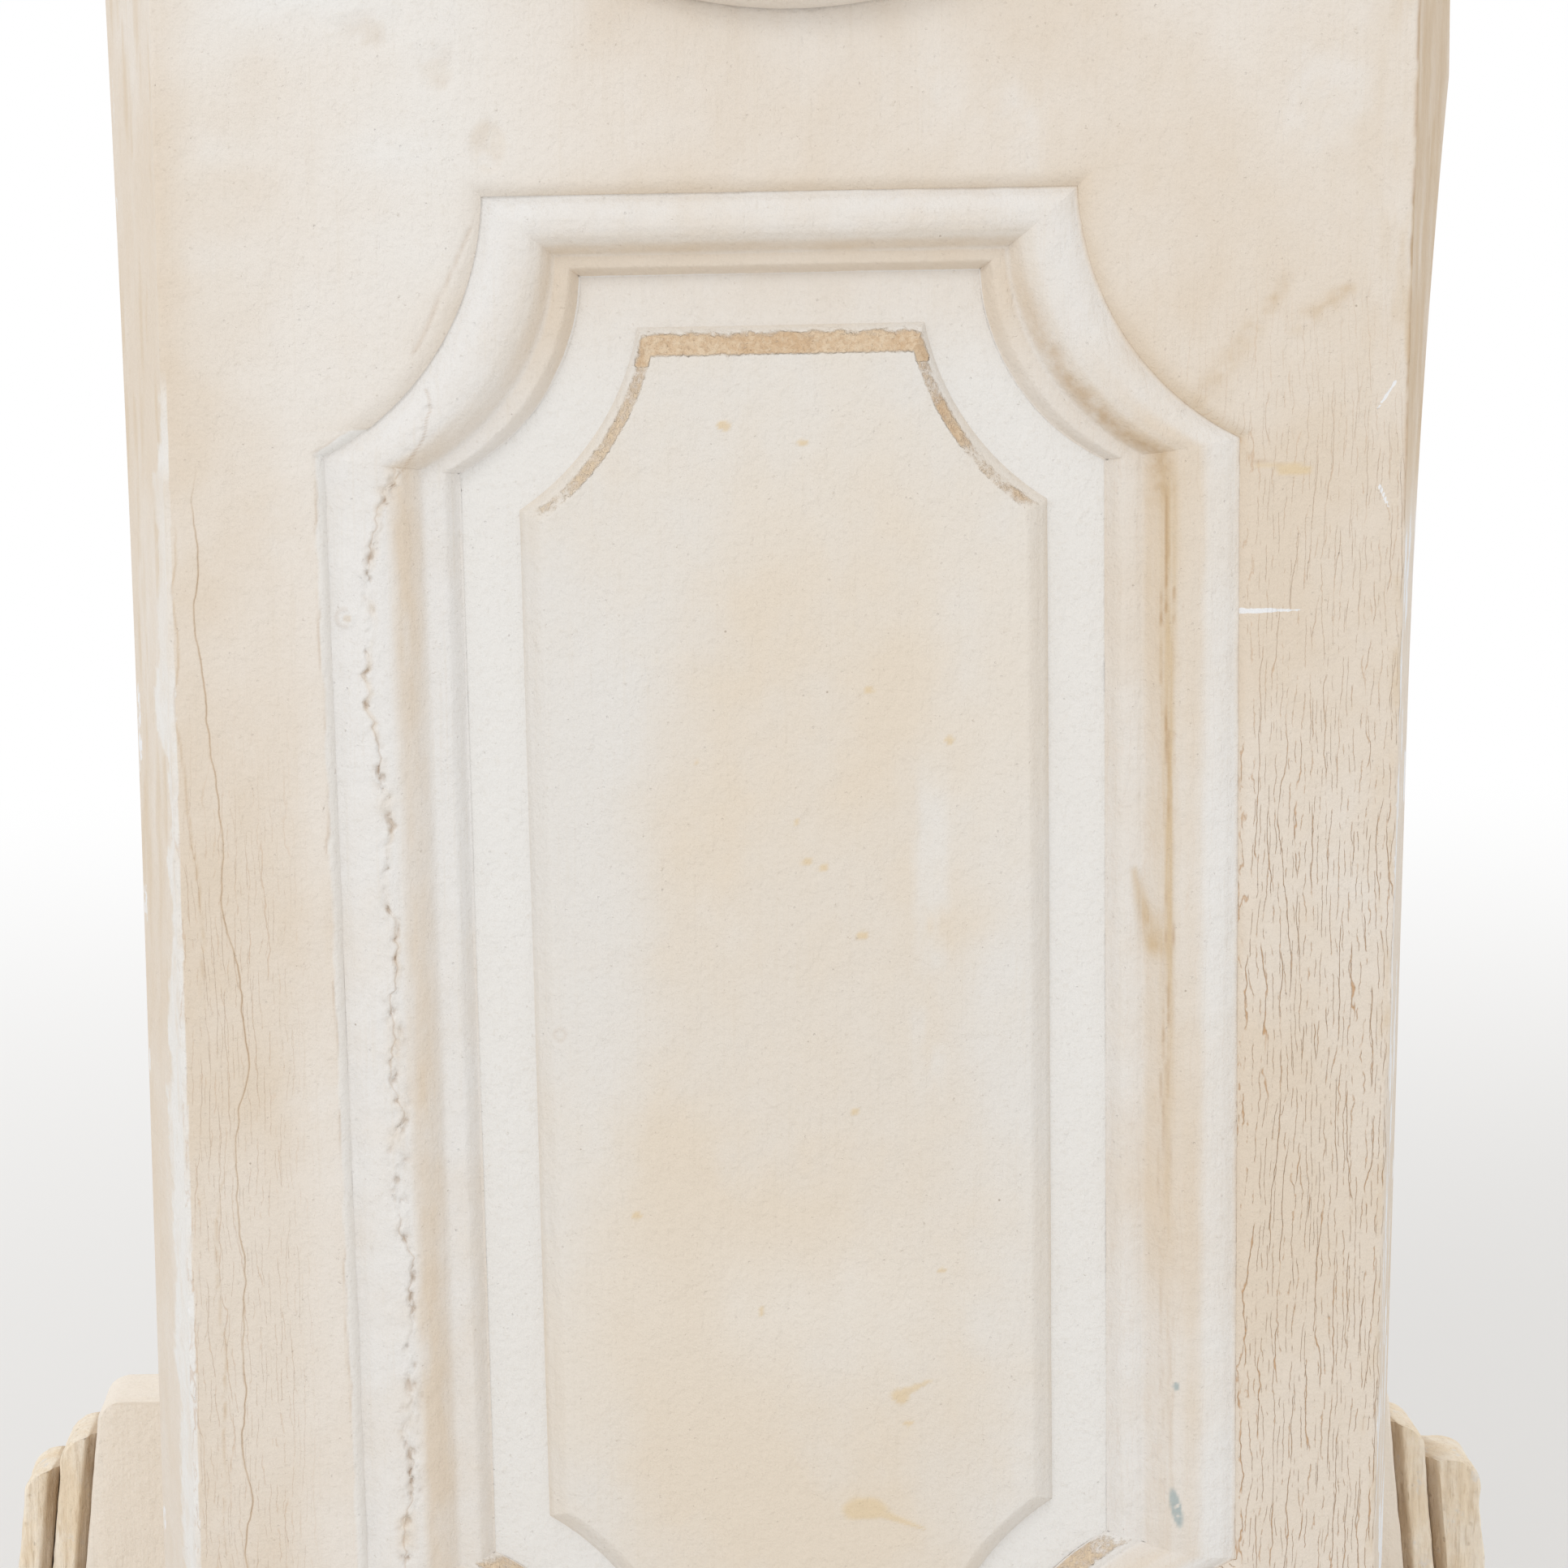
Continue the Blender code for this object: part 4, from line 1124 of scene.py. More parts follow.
    # Ochre round the frame, on the smudges and down the returns
    ochre = 0.45 * fade(margin, 0.0015) * rise(x, 0.05, 0.08) * rise(z, 0.38, 0.40) * front
    dirty_dents = 0.3 * dents * patches(x, z, 0.004, 66, 0.0, 0.5)
    ochre = ochre + (0.70 * smear + 0.75 * dirty_edge + dirty_dents) * front
    speckles = np.clip(rough(x, z, (0.002, 0.006), 67), 0, 1)
    ochre = ochre + 0.50 * np.exp(-np.abs(x - 0.1185) / 0.0022) * (z < 0.37) * speckles
    runs = patches(0.25 * y, 0.05 * z, (0.0011, 0.0011), 76, 0.15, 0.55)
    ochre = ochre + 0.35 * np.maximum(crack, twin)
    ochre = ochre + near_side * 0.42 * runs * rise(z, 0.25, 0.33) * (1 - strip)
    stained = patchy(y, z, (0.008, 0.018), 73, 0.75, 0.45, 0.2, 1.0)
    ochre = ochre + far * stained * (0.20 + 0.75 * rise(z, 0.375, 0.395))
    seam = bell(edge, 0.0006) * (x > 0) * rise(z, 0.36, 0.39) * patches(x * 0, z, 0.006, 77, -0.6, 0.1)
    scar = scar + 0.45 * seam + far * 0.16 * stained * rise(z, 0.385, 0.40)

    # A drip by the right stile, and the white floor of the sinking
    drip = 0.9 * spot(x, z, (0.0975, 0.3900), 0.0036, 0.0012)
    drip = (drip + 0.5 * spot(x, z, (0.0925, 0.3911), 0.0035, 0.0004)) * front
    floor = rise(y, FACE_Y + 0.006, FACE_Y + 0.007) * (np.abs(x) < 0.09) * (y < FACE_Y + 0.010)
    keep = 1 - floor
    corner = 0.75 * rise(-x, 0.030, 0.080) * rise(z, 0.36, 0.45)
    corner = corner * patchy(x, z, (0.03, 0.02), 72, 0.55, 0.5, 0, 1) * rise(x, -0.117, -0.106)
    return {
        "tan": tan * keep * (1 - returns * 0.4) + 0.5 * far * rise(z, 0.375, 0.39),
        "crackle": crackle * front + 0.7 * far,
        "chip": chip * np.maximum(front, returns),
        "scar": scar,
        "ochre": ochre,
        "drip": drip,
        "white": floor * (0.80 - 0.60 * rise(u, 0.120, 0.145)) + corner * front + strip + 0.55 * lapped,
    }


# ------------------------------------------------------------------ inner panel

# Paint drips on the panel: (x, height, half width, half height)
DRIPS = [
    (-0.0115, 0.3984, 0.0013, 0.0010),
    (0.0039, 0.3953, 0.0010, 0.0007),
    (0.0165, 0.3475, 0.0011, 0.0008),
    (0.0323, 0.3376, 0.0009, 0.0007),
    (-0.0167, 0.3338, 0.0006, 0.0004),
    (0.0024, 0.3218, 0.0006, 0.0004),
    (0.0048, 0.3141, 0.0010, 0.0007),
    (0.0081, 0.3125, 0.0011, 0.0008),
    (0.0156, 0.2991, 0.0011, 0.0008),
    (0.0140, 0.2636, 0.0008, 0.0006),
    (-0.0288, 0.2429, 0.0009, 0.0008),
    (0.0316, 0.2309, 0.0008, 0.0006),
    (-0.0043, 0.2231, 0.0005, 0.0011),
    (0.0236, 0.2048, 0.0018, 0.0016),
    (0.0251, 0.1990, 0.0011, 0.0006),
    (0.0164, 0.1811, 0.0054, 0.0030),
]
# The tails of splashed drips: (path, half width at the drip)
DRIP_TAILS = [
    ([(0.0200, 0.1802), (0.0285, 0.1768)], 0.0009),
    ([(0.0240, 0.2054), (0.0296, 0.2080)], 0.0010),
]
# How far the panel's warm tone reaches from its middle: (height, reach)
WARM_REACH = [(-0.135, 0.046), (-0.020, 0.044), (0.060, 0.036), (0.110, 0.026)]


def build_inner_panel():
    """The raised field with its sloped edge."""
    across_circle, up_circle, radius = FIELD_SCOOP
    low, high = -FIELD_HALF_HEIGHT, FIELD_HALF_HEIGHT
    straight = FIELD_STRAIGHT_HALF
    below, middle = spaced(low, -straight, 90, 0.5)[:-1], spaced(-straight, straight, 300)[:-1]
    rows = np.concatenate([below, middle, spaced(straight, high, 110, 0.5)])
    wide = half_width_at(rows, FIELD_HALF_WIDTH, FIELD_HALF_HEIGHT, FIELD_SCOOP)
    a = wide[:, None] * spaced(-1, 1, 190, 0.5)[None, :]
    u = np.repeat(rows[:, None], a.shape[1], axis=1)
    side, top, scoop = FIELD_SLOPE
    slope = np.minimum(
        np.minimum((FIELD_HALF_WIDTH - np.abs(a)) / side, (FIELD_HALF_HEIGHT - np.abs(u)) / top),
        (np.hypot(np.abs(a) - across_circle, np.abs(u) - up_circle) - radius) / scoop,
    )
    x, z = from_frame(a, u)
    lift = rise(np.clip(slope, 0, 1.3), -0.45, 1.15) * 1.02 - 0.06 * (slope < 0.0)
    lift = np.clip(lift, 0.0, 1.0)
    depth = FIELD_EDGE_DEPTH + (FIELD_DEPTH - FIELD_EDGE_DEPTH) * lift
    depth = depth + 0.00010 * rough(x, z, 0.05, 21) + 0.00004 * rough(x, z, 0.008, 22)
    ledge = rise(u, 0.0990, 0.1030) * rise(slope, -0.10, 0.12) * fall(slope, 0.86, 1.06)
    thin = 0.62 + 0.38 * rough(x, z, 0.007, 27)
    ledge = ledge * np.where(u > 0.1285, 1.0, np.clip(thin, 0.25, 0.9) * rise(slope, 0.05, 0.40))
    ledge = ledge * np.clip(rise(slope + 0.12 * rough(x, z, (0.0022, 0.0012), 28), -0.08, 0.30), 0.30, 1.0)
    ledge = ledge * (1 - 0.6 * spot(np.abs(a), u, (0.0365, 0.1290), 0.0022, 0.0016))
    depth = depth - 0.00012 * ledge * (rough(x, z, 0.0013, 23) + 0.4)
    drip = np.zeros_like(x)
    for place_x, place_z, across, up in DRIPS:
        bent = 1.0 + 0.35 * rough(x, z, across * 1.5, 24)
        drip = np.maximum(drip, spot(x, z, (place_x, place_z), across * bent, up * bent))
    for path, width in DRIP_TAILS:
        away, along = path_distance(x, z, path)
        drip = np.maximum(drip, 0.9 * rise(width * (1 - 0.8 * along) - away, -0.0002, 0.0002))
    ring = np.abs(np.hypot(x + 0.0436, z - 0.2798) - 0.0011)
    depth = depth - 0.00008 * drip + 0.0001 * bell(ring, 0.0004)
    front = np.stack([x, FACE_Y + depth, z], axis=2)
    numbers = np.arange(x.size).reshape(x.shape)
    edge = loop_round(numbers)
    base = np.arange(len(edge)) + numbers.size
    base_points = front.reshape(-1, 3)[edge].copy()
    base_points[:, 1] = FACE_Y + SUNK_DEPTH
    base_a, base_u = to_frame(base_points[:, 0], base_points[:, 2])
    spread_up = 1 + (FOOT_SPREAD - 1) * FIELD_HALF_WIDTH / FIELD_HALF_HEIGHT
    base_x, base_z = from_frame(base_a * FOOT_SPREAD, base_u * spread_up)
    base_points[:, 0], base_points[:, 2] = base_x, base_z
    points = np.concatenate([front.reshape(-1, 3), base_points])
    quads = np.concatenate([grid_faces(numbers), strip_faces(edge, base, closed=True)])
    heights, reaches = zip(*WARM_REACH)
    reach = np.interp(u, heights, reaches) + 0.004 * rough(x, z, 0.02, 87)
    warm = fall(np.abs(a - 0.004 * rise(u, 0.0, 0.08)), reach - 0.018, reach + 0.002)
    warm = warm * rise(0.125 - u, 0.0, 0.06)
    cloud = 0.5 + 0.5 * rough(x, z, (0.018, 0.05), 25)
    pale = np.exp(-(((x - 0.0290) / 0.0034) ** 4) - ((z - 0.3015) / 0.032) ** 4)
    pale = pale * patches(x, z, (0.005, 0.014), 26, -0.7, 0.5)
    cool = 0.5 * np.exp(-((a / 0.034) ** 2) - ((u + 0.058) / 0.015) ** 2) * np.clip(0.3 + cloud, 0, 1)
    marks = {
        "dust": ledge,
        "tan": warm * (0.36 + 0.26 * cloud) * (1 - pale),
        "white": 0.30 * pale + 0.26 * (1 - warm) * (1 - ledge) * (0.6 + 0.4 * cloud) + cool,
        "drip": 0.8 * drip,
        "scar": 0.15 * bell(ring, 0.0004),
    }
    marks = {key: np.concatenate([value.ravel(), np.zeros(len(edge))]) for key, value in marks.items()}
    node = ["inner_panel"]
    add_piece("inner_panel_cast", points, quads, panel_paint, node, [base], marks, 60.0)


# ------------------------------------------------------------------ boss, cap and plinth


def build_boss():
    """A crowned oval with a rounded rim."""
    seat = FACE_Y - GAP
    turns = np.linspace(0.0, 2.0 * math.pi, 220, endpoint=False)
    steps = [(0.0, 0.0)]
    for angle in np.linspace(0.0, math.pi, 26):
        inset = BOSS_RIM_WIDTH / 2 * (1 - math.cos(angle))
        steps.append((inset, BOSS_EDGE + (BOSS_RIM_HEIGHT - BOSS_EDGE) * math.sin(angle)))
    rings = []
    for inset, lift in steps:
        rings.append((BOSS_HALF[0] - inset, BOSS_HALF[1] - inset, lift))
    for angle in np.linspace(0.03, 0.49 * math.pi, 44):
        share = math.cos(angle)
        lift = BOSS_EDGE + (BOSS_DOME_HEIGHT - BOSS_EDGE) * math.sin(angle)
        rings.append(((BOSS_HALF[0] - BOSS_RIM_WIDTH) * share, (BOSS_HALF[1] - BOSS_RIM_WIDTH) * share, lift))
    made = []
    marks = []
    for number, (across, up, lift) in enumerate(rings):
        x, z = across * np.cos(turns), BOSS_Z + up * np.sin(turns)
        wave = 0.00012 * rough(x, z, 0.012, 71) * (number > 1)
        made.append(np.stack([x, seat - lift * 0.985 + wave, z], axis=1))
        marks.append(np.full(len(turns), 0.9 if 24 < number < 29 else 0.0))
    marks = {"tan": np.array(marks)}
    add_rings("boss_cast", np.array(made), face_paint, "boss", marks, 60.0)


def fine_profile(corners, step=0.0012):
    """Points no further apart than a step along a profile of (overhang, height)."""
    points = [corners[0]]
    for start, end in zip(corners, corners[1:]):
        count = max(1, int(math.ceil(math.dist(start, end) / step)))
        for index in range(1, count + 1):
            share = index / count
            points.append((start[0] + (end[0] - start[0]) * share, start[1] + (end[1] - start[1]) * share))
    return points


def build_plate(name, half_width, front, back, profile, seed):
    """A plate with a flat back, whose front and sides follow a profile of (overhang, height)."""
    s = np.linspace(0.0, 1.0, 150, endpoint=False)
    rings = []
    dirt = []
    low, high = profile[0][1], profile[-1][1]
    for overhang, z in profile:
        wide = half_width + overhang
        face = front - overhang
        ones = np.ones_like(s)
        x = np.concatenate([wide * (2 * s - 1), wide * ones, wide * (1 - 2 * s), -wide * ones])
        y = np.concatenate([face * ones, face + (back - face) * s, back * ones, back + (face - back) * s])
        height = z * np.ones_like(x)
        around = x + 1.7 * y
        wear = 0.00012 + 0.00012 * rough(around, height, (0.02, 0.006), seed)
        nick = patches(around, height, (0.006, 0.004), seed + 1, 0.80, 1.15) * 0.0009
        inward = np.clip(wear + nick, 0, 0.002)
        inward = inward * rise(min(z - low, high - z) + 0.0012, 0.0, 0.001)
        worn_x, worn_y = x * (1 - inward / half_width), np.where(y > 0, y, y + inward)
        rings.append(np.stack([worn_x, worn_y, height], axis=1))
        dirt.append(nick / 0.0009)
    marks = {"chip": 0.7 * np.array(dirt), "tan": 0.25 + 0.3 * np.array(dirt)}
    add_rings(name + "_cast", np.array(rings), rest_paint, name, marks, 45.0)


def quarter(start, end, hollow):
    """A quarter round between two (overhang, height) corners."""
    points = []
    for angle in np.linspace(0.0, 0.5 * math.pi, 25):
        along = 1.0 - math.cos(angle) if hollow else math.sin(angle)
        climb = math.sin(angle) if hollow else 1.0 - math.cos(angle)
        points.append((start[0] + (end[0] - start[0]) * along, start[1] + (end[1] - start[1]) * climb))
    return points


def rounded_arris(overhang, low, high, edge):
    """A square plate edge with both its arrises rounded."""
    points = []
    for angle in np.linspace(-0.5 * math.pi, 0.0, 7):
        points.append((overhang - edge + edge * math.cos(angle), low + edge + edge * math.sin(angle)))
    for angle in np.linspace(0.0, 0.5 * math.pi, 7):
        points.append((overhang - edge + edge * math.cos(angle), high - edge + edge * math.sin(angle)))
    return points


def build_cap_and_plinth():
    """The three courses of the cap and the two of the plinth."""
    low = CASTING_HIGH + GAP
    middle, nose = (low + ASTRAGAL_HIGH) / 2, (ASTRAGAL_HIGH - low) / 2
    turns = np.linspace(-0.5 * math.pi, 0.5 * math.pi, 31)
    bead = [(nose * 0.7 * math.cos(turn), middle + nose * math.sin(turn)) for turn in turns]
    build_plate("cap_astragal", CAP_HALF_WIDTH, CAP_FACE, CAP_BACK, bead, 81)

    cove_low, fillet = ASTRAGAL_HIGH + GAP, 0.004
    cove = [(-0.003, cove_low)] + quarter((-0.003, cove_low + fillet), (0.008, COVE_HIGH - fillet), True)
    cove += [(0.009, COVE_HIGH - fillet), (0.009, COVE_HIGH)]
    build_plate("cap_cove", CAP_HALF_WIDTH, CAP_FACE, CAP_BACK, fine_profile(cove), 83)
    slab = fine_profile(rounded_arris(CAP_OVERHANG, COVE_HIGH + GAP, HEIGHT, 0.003))
    build_plate("cap_slab", CAP_HALF_WIDTH, CAP_FACE, CAP_BACK, slab, 85)

    block = fine_profile(rounded_arris(PLINTH_OVERHANG, 0.0, PLINTH_STEP_HIGH, 0.003))
    build_plate("plinth_block", PLINTH_HALF_WIDTH, PLINTH_FACE, PLINTH_BACK, block, 87)
    low = PLINTH_STEP_HIGH + GAP
    step = [(0.0045, low)] + quarter((0.0045, low + 0.004), (0.0, CASTING_LOW), False)
    build_plate("plinth_moulding", PLINTH_HALF_WIDTH, PLINTH_FACE, PLINTH_BACK, fine_profile(step), 89)


# ------------------------------------------------------------------ rear flanges


def spread(z, low):
    """How much wider a flange is than at its block's top; it stops spreading under low."""
    return FLANGE_SPREAD * (BLOCK_HIGH - np.maximum(z, low))


def build_slab(name, sign, inner, outer, high, radius, low, front, finish, slot, seed, torn):
    """An upright layer of a flange: cross-sections stacked up to a rounded outer top corner."""
    back = DEPTH / 2
    rounded = high - radius + radius * np.sin(np.linspace(0, 0.5 * math.pi, 16))
    heights = np.concatenate([np.linspace(0.0, high - radius, 150)[:-1], rounded])
    corner = 0.0009
    across, deep = 14, 16
    rings = []
    scars_and_gap_shade = []
    for z in heights:
        rounding = radius - math.sqrt(max(radius**2 - max(z - (high - radius), 0.0) ** 2, 0.0))
        low_x = (CHEEK_OUTER + GAP) if inner is None else inner + spread(z, low) - RIB_SWELL
        high_x = outer + spread(z, low) - rounding
        long_x = np.linspace(low_x + corner, high_x - corner, across)
        long_y = np.linspace(front + corner, back - corner, deep)
        recess = 0 * long_x if inner is None else GROOVE_DEEP * fall(long_x - low_x, 0.0012, 0.0028)
        low_y = np.linspace(back - corner, front + recess[0] + corner, deep)
        x = np.concatenate([long_x, np.full(deep, high_x), long_x[::-1], np.full(deep, low_x)])
        y = np.concatenate([front + recess, long_y, np.full(across, back), low_y])
        height = np.full_like(x, z)
        around = x * 1.3 + y
        wave = 0.5 + 0.5 * rough(around, height, (0.004, 0.012), seed)
        fibre = 0.5 + 0.5 * rough(around, height, (0.0012, 0.020), seed + 1)
        inward = torn * np.clip(0.6 * wave + 0.4 * fibre, 0, 1)
        middle_x, middle_y = (low_x + high_x) / 2, (front + back) / 2
        half_x, half_y = (high_x - low_x) / 2, (back - front) / 2
        tear_x = inward if inner is None else inward * (x > middle_x)
        x = middle_x + (x - middle_x) * (1 - tear_x / half_x)
        y = middle_y + (y - middle_y) * (1 - inward / half_y)
        rings.append(np.stack([sign * x, y, height], axis=1))
        # Painted shade: the rib's side face towards the gap before it, and the grooved strip beside that gap
        # on its front and back, are browned through the scar mark
        gap_shade = fall(long_x - low_x, 0.0014, 0.0032)
        painted_gap_shade = np.concatenate([gap_shade, np.zeros(deep), gap_shade[::-1], np.ones(deep)]) * (inner is not None)
        scars_and_gap_shade.append(np.clip(wave, 0, 1) * rise(fibre, 0.45, 0.75) + 2.0 * painted_gap_shade)
    # The scar and tan marks carry the rib's stains together with this painted gap shade
    stained = 0.28 if torn > 0.0005 else 0.0
    marks = {"scar": stained * np.array(scars_and_gap_shade), "tan": (stained + 0.05) * np.array(scars_and_gap_shade)}
    add_rings(name + "_cast", np.array(rings), finish, name, marks, 60.0)


def build_flanges():
    """On each side a block and two ribs, each standing against the one before."""
    for side, sign in (("left", -1), ("right", 1)):
        seed = 91 if sign < 0 else 101
        name = "flange_block_" + side
        low, block_edge, block_high, ribs = FLANGES[side]
        shape = (None, block_edge, block_high, 0.005, low, FLANGE_FRONT)
        build_slab(name, sign, *shape, block_paint, "painted_plaster", seed, 0.0004)
        inner = block_edge + RIB_GAP
        rib_names = ("flange_rib_inner_", "flange_rib_outer_")
        for number, (rib, (thickness, high)) in enumerate(zip(rib_names, ribs)):
            torn = 0.0009 + 0.0005 * number
            shape = (inner, inner + thickness, high, 0.006, low, FLANGE_FRONT + RIB_SETBACK)
            build_slab(rib + side, sign, *shape, rib_plaster, "raw_plaster", seed + 3 + 2 * number, torn)
            inner += thickness + RIB_GAP


# ------------------------------------------------------------------ jute wads and lining


def rounded_loop(corners, radius, step):
    """A closed outline with rounded corners, sampled at an even step."""
    points = []
    count = len(corners)
    for index in range(count):
        before, here, after = (np.array(corners[(index + shift) % count]) for shift in (-1, 0, 1))
        into, out = here - before, after - here
        reach = min(radius, np.linalg.norm(into) / 2.01, np.linalg.norm(out) / 2.01)
        start, end = here - into / np.linalg.norm(into) * reach, here + out / np.linalg.norm(out) * reach
        for t in np.linspace(0, 1, 6):
            points.append((1 - t) ** 2 * start + 2 * t * (1 - t) * here + t**2 * end)
    points = np.array(points + [points[0]])
    gone = np.concatenate([[0], np.cumsum(np.linalg.norm(np.diff(points, axis=0), axis=1))])
    even = np.linspace(0, gone[-1], int(gone[-1] / step), endpoint=False)
    return np.stack([np.interp(even, gone, points[:, axis]) for axis in (0, 1)], axis=1)


def build_wads():
    """Straps of soaked jute lapped round each stile."""
    inner = STILE_OUTER - STILE_FACE_WIDTH - GAP
    front, back = STILE_FRONT - GAP, STILE_FRONT + TIMBER_THICKNESS + GAP
    thick = WAD_THICKNESS - 0.0002
    strap = [
        (STILE_OUTER, back),
        (inner, back),
        (inner, front),
        (STILE_OUTER, front),
        (STILE_OUTER, front - thick),
        (inner - thick, front - thick),
        (inner - thick, back + thick),
        (STILE_OUTER, back + thick),
    ]
    loop = rounded_loop(strap, 0.0016, 0.0011)
    heights = np.linspace(-1.0, 1.0, 44)
    for side, sign in (("left", -1), ("right", 1)):
        for number, middle in enumerate(WAD_CENTRES, 1):
            seed = 110 + 10 * number + sign
            on_side = loop[:, 0] < inner - 0.0003
            on_front, on_back = loop[:, 1] < front - 0.0006, loop[:, 1] > back + 0.0006
            outside = on_side | on_front | on_back
            away_x = np.where(on_side, 1.0, 0.0)
            away_y = np.where(on_back, -1.0, 0.0) + np.where(on_front, 1.0, 0.0)
            rings = []
            for share in heights:
                z = middle + share * WAD_HEIGHT / 2
                around = loop[:, 0] + 1.4 * loop[:, 1]
                level = np.full(len(loop), z)
                lump = patchy(around, level, (0.007, 0.006), seed, 0.5, 0.5, 0, 1)
                frill = patchy(around, level, 0.0017, seed + 1, 0.5, 0.5, 0, 1)
                full = 1.0 - rise(abs(share), 0.86, 1.0) * 0.9
                inward = (0.0011 * lump + 0.0005 * frill + 0.0018 * (1 - full)) * outside
                x = sign * (loop[:, 0] + away_x * inward)
                ragged = 0.0016 * rough(around, level * 0, 0.004, seed + 2) * rise(abs(share), 0.6, 1.0)
                height = z - np.sign(share) * np.abs(ragged)
                height = np.clip(height, middle - WAD_HEIGHT / 2, middle + WAD_HEIGHT / 2)
                rings.append(np.stack([x, loop[:, 1] + away_y * inward, height], axis=1))
            name = "jute_wad_" + side + "_" + str(number)
            add_rings(name + "_soaked", np.array(rings), wad_jute, name, None, 70.0)


def build_scrim():
    """Open-weave lining, its back face raised along each thread."""
    front = FACE_Y + FACE_WALL + GAP
    xs = np.linspace(-SCRIM_HALF_WIDTH, SCRIM_HALF_WIDTH, 264)
    zs = np.linspace(SCRIM_LOW, SCRIM_HIGH, 620)
    z, x = np.meshgrid(zs, xs, indexing="ij")
    wander_x = x + 0.0006 * rough(x, z, 0.03, 131)
    wander_z = z + 0.0006 * rough(x, z, 0.03, 132)
    warp = np.abs(np.cos(np.pi * wander_x / THREAD_SPACING)) ** 3
    weft = np.abs(np.cos(np.pi * wander_z / THREAD_SPACING)) ** 3
    over = np.sign(np.cos(np.pi * wander_x / THREAD_SPACING) * np.cos(np.pi * wander_z / THREAD_SPACING))
    height = np.maximum(warp * (1 + 0.25 * over), weft * (1 - 0.25 * over)) / 1.25
    filled = 0.45 * patchy(x, z, 0.018, 133, 0.5, 0.5, 0, 1)
    y = front + 0.0004 + 0.0012 * np.clip(np.maximum(height, filled), 0, 1)
    surface = np.stack([x, y, z], axis=2)
    numbers = np.arange(x.size).reshape(x.shape)
    edge = loop_round(numbers)
    base = np.arange(len(edge)) + numbers.size
    base_points = surface.reshape(-1, 3)[edge].copy()
    base_points[:, 1] = front
    points = np.concatenate([surface.reshape(-1, 3), base_points])
    quads = np.concatenate([grid_faces(numbers), strip_faces(edge, base, closed=True)])
    add_piece("scrim_lining_weave", points, quads, scrim_jute, ["scrim_lining"], [base], None, 70.0)


def dress(node, finish, width):
    """Gives a carried-over CAD node its finish and eases its edges."""
    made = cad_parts[node]
    made.data.materials.clear()
    made.data.materials.append(finish)
    eased = made.modifiers.new("eased_edges", "BEVEL")
    eased.width = width
    eased.segments = 3
    eased.limit_method = "ANGLE"
    eased.angle_limit = math.radians(40.0)


def dress_cad():
    """Finishes for the nodes that keep their CAD shape."""
    for side in ("left", "right"):
        dress("cheek_" + side, rest_paint, 0.0008)
        dress("back_stile_" + side, upright_timber, 0.0009)
        dress("lath_" + side, upright_timber, 0.0006)
    for name in ("bottom", "middle", "top"):
        dress("back_rail_" + name, level_timber, 0.0009)
    for name in ("lower", "upper"):
        dress("lath_" + name, level_timber, 0.0006)
    for number in range(1, 7):
        dress("rail_screw_" + str(number), screw_steel, 0.0002)


# ------------------------------------------------------------------ stage, light and camera


def build_stage():
    """A pale floor whose far part gives its own light, so that it melts into the white studio."""
    ground = Finish("stage_floor")
    place = ground.node("ShaderNodeSeparateXYZ")
    ground.feed(ground.place, place.inputs[0])
    across = ground.math("POWER", ground.math("SUBTRACT", place.outputs[0], 0.16), 2.0)
    away = ground.math("SQRT", ground.math("ADD", across, ground.math("POWER", place.outputs[1], 2.0)))
    far = ground.step(away, 0.47, 1.85)
    colour = ground.mix(far, (0.78, 0.77, 0.755, 1.0), (0.0, 0.0, 0.0, 1.0))
    ground.feed(colour, ground.shader.inputs["Base Color"])
    ground.shader.inputs["Roughness"].default_value = 1.0
    ground.shader.inputs["Specular IOR Level"].default_value = 0.0
    ground.feed((1.0, 1.0, 1.0, 1.0), ground.shader.inputs["Emission Color"])
    ground.feed(far, ground.shader.inputs["Emission Strength"])
    size, level = 8.0, -0.0005
    corners = [(-size, -size, level), (size, -size, level), (size, size, level), (-size, size, level)]
    mesh = bpy.data.meshes.new("stage_floor")
    mesh.from_pydata(corners, [], [(0, 1, 2, 3)])
    mesh.materials.append(ground.material)
    floor = bpy.data.objects.new("stage_floor", mesh)
    bpy.context.scene.collection.objects.link(floor)


def aim(made, place, target):
    """Puts a light or camera in place and turns it to its target."""
    made.location = place
    made.rotation_mode = "QUATERNION"
    made.rotation_quaternion = (Vector(target) - Vector(place)).to_track_quat("-Z", "Y")
    bpy.context.scene.collection.objects.link(made)


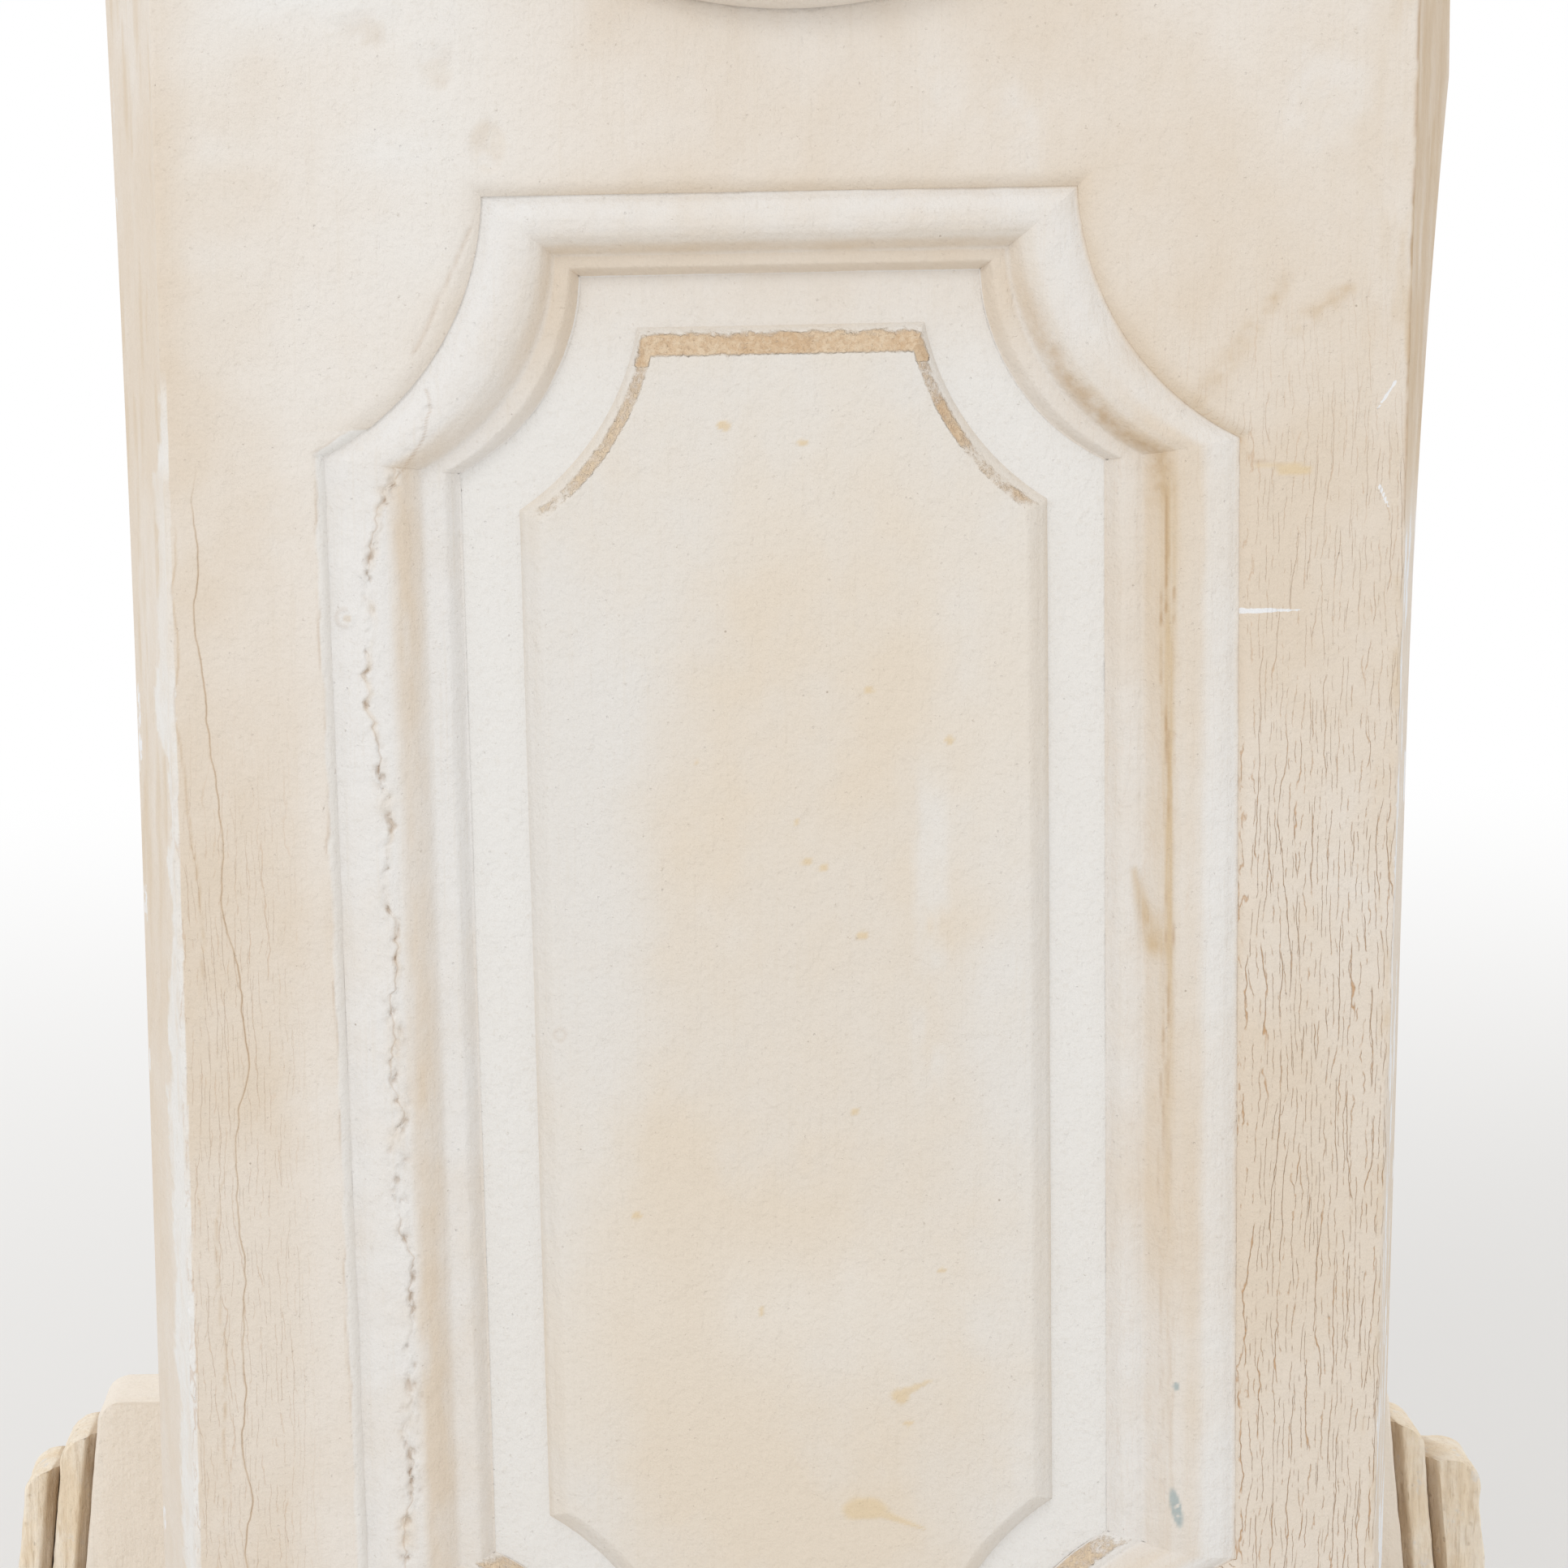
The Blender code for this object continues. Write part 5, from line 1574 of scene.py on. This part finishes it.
def build_light():
    """An even white sky with one soft key from the upper left."""
    world = bpy.data.worlds.new("studio")
    world.use_nodes = True
    sky = world.node_tree.nodes["Background"]
    sky.inputs["Color"].default_value = (1.0, 1.0, 1.0, 1.0)
    sky.inputs["Strength"].default_value = 1.0
    bpy.context.scene.world = world
    key = bpy.data.lights.new("key", "AREA")
    key.shape = "DISK"
    key.size = 0.9
    key.energy = 9.0
    aim(bpy.data.objects.new("key", key), (-1.1, -1.7, 1.9), (0.0, -0.1, 0.33))


def build_camera():
    """The photo's angle: a long lens close to the face, tipped down and turned a little."""
    lens = bpy.data.cameras.new("camera")
    lens.sensor_width = 36.0
    lens.lens = 83.9
    lens.clip_start = 0.01
    lens.clip_end = 100.0
    camera = bpy.data.objects.new("camera", lens)
    reach, turn, tip = 0.703, math.radians(2.7), math.radians(10.0)
    target = (0.0, FACE_Y, 0.330)
    place = (
        target[0] - reach * math.cos(tip) * math.sin(turn),
        target[1] - reach * math.cos(tip) * math.cos(turn),
        target[2] + reach * math.sin(tip),
    )
    aim(camera, place, target)
    bpy.context.scene.camera = camera


bpy.context.scene.view_settings.view_transform = "Standard"
face_paint = aged_paint("face_paint", CREAM, BUFF)
frame_paint = aged_paint("frame_paint", paint_colour(232, 228, 222), BUFF)
panel_paint = aged_paint("panel_paint", paint_colour(227, 221, 212), paint_colour(228, 214, 194))
rest_paint = aged_paint("rest_paint", CREAM, BUFF, crackle=0.25)
block_paint = aged_paint("block_paint", paint_colour(244, 233, 217), paint_colour(238, 222, 200))
rib_plaster = raw_plaster("rib_plaster", paint_colour(251, 239, 219), paint_colour(245, 227, 199))
upright_timber = timber("upright_timber", 2)
level_timber = timber("level_timber", 0)
wad_jute = jute("wad_jute", 0.0034, 0.42)
scrim_jute = jute("scrim_jute", THREAD_SPACING, 0.44)
screw_steel = rusted_steel("screw_steel")

build_frame()
build_front_casting()
build_inner_panel()
build_boss()
build_cap_and_plinth()
build_flanges()
build_wads()
build_scrim()
dress_cad()
build_stage()
build_light()
build_camera()
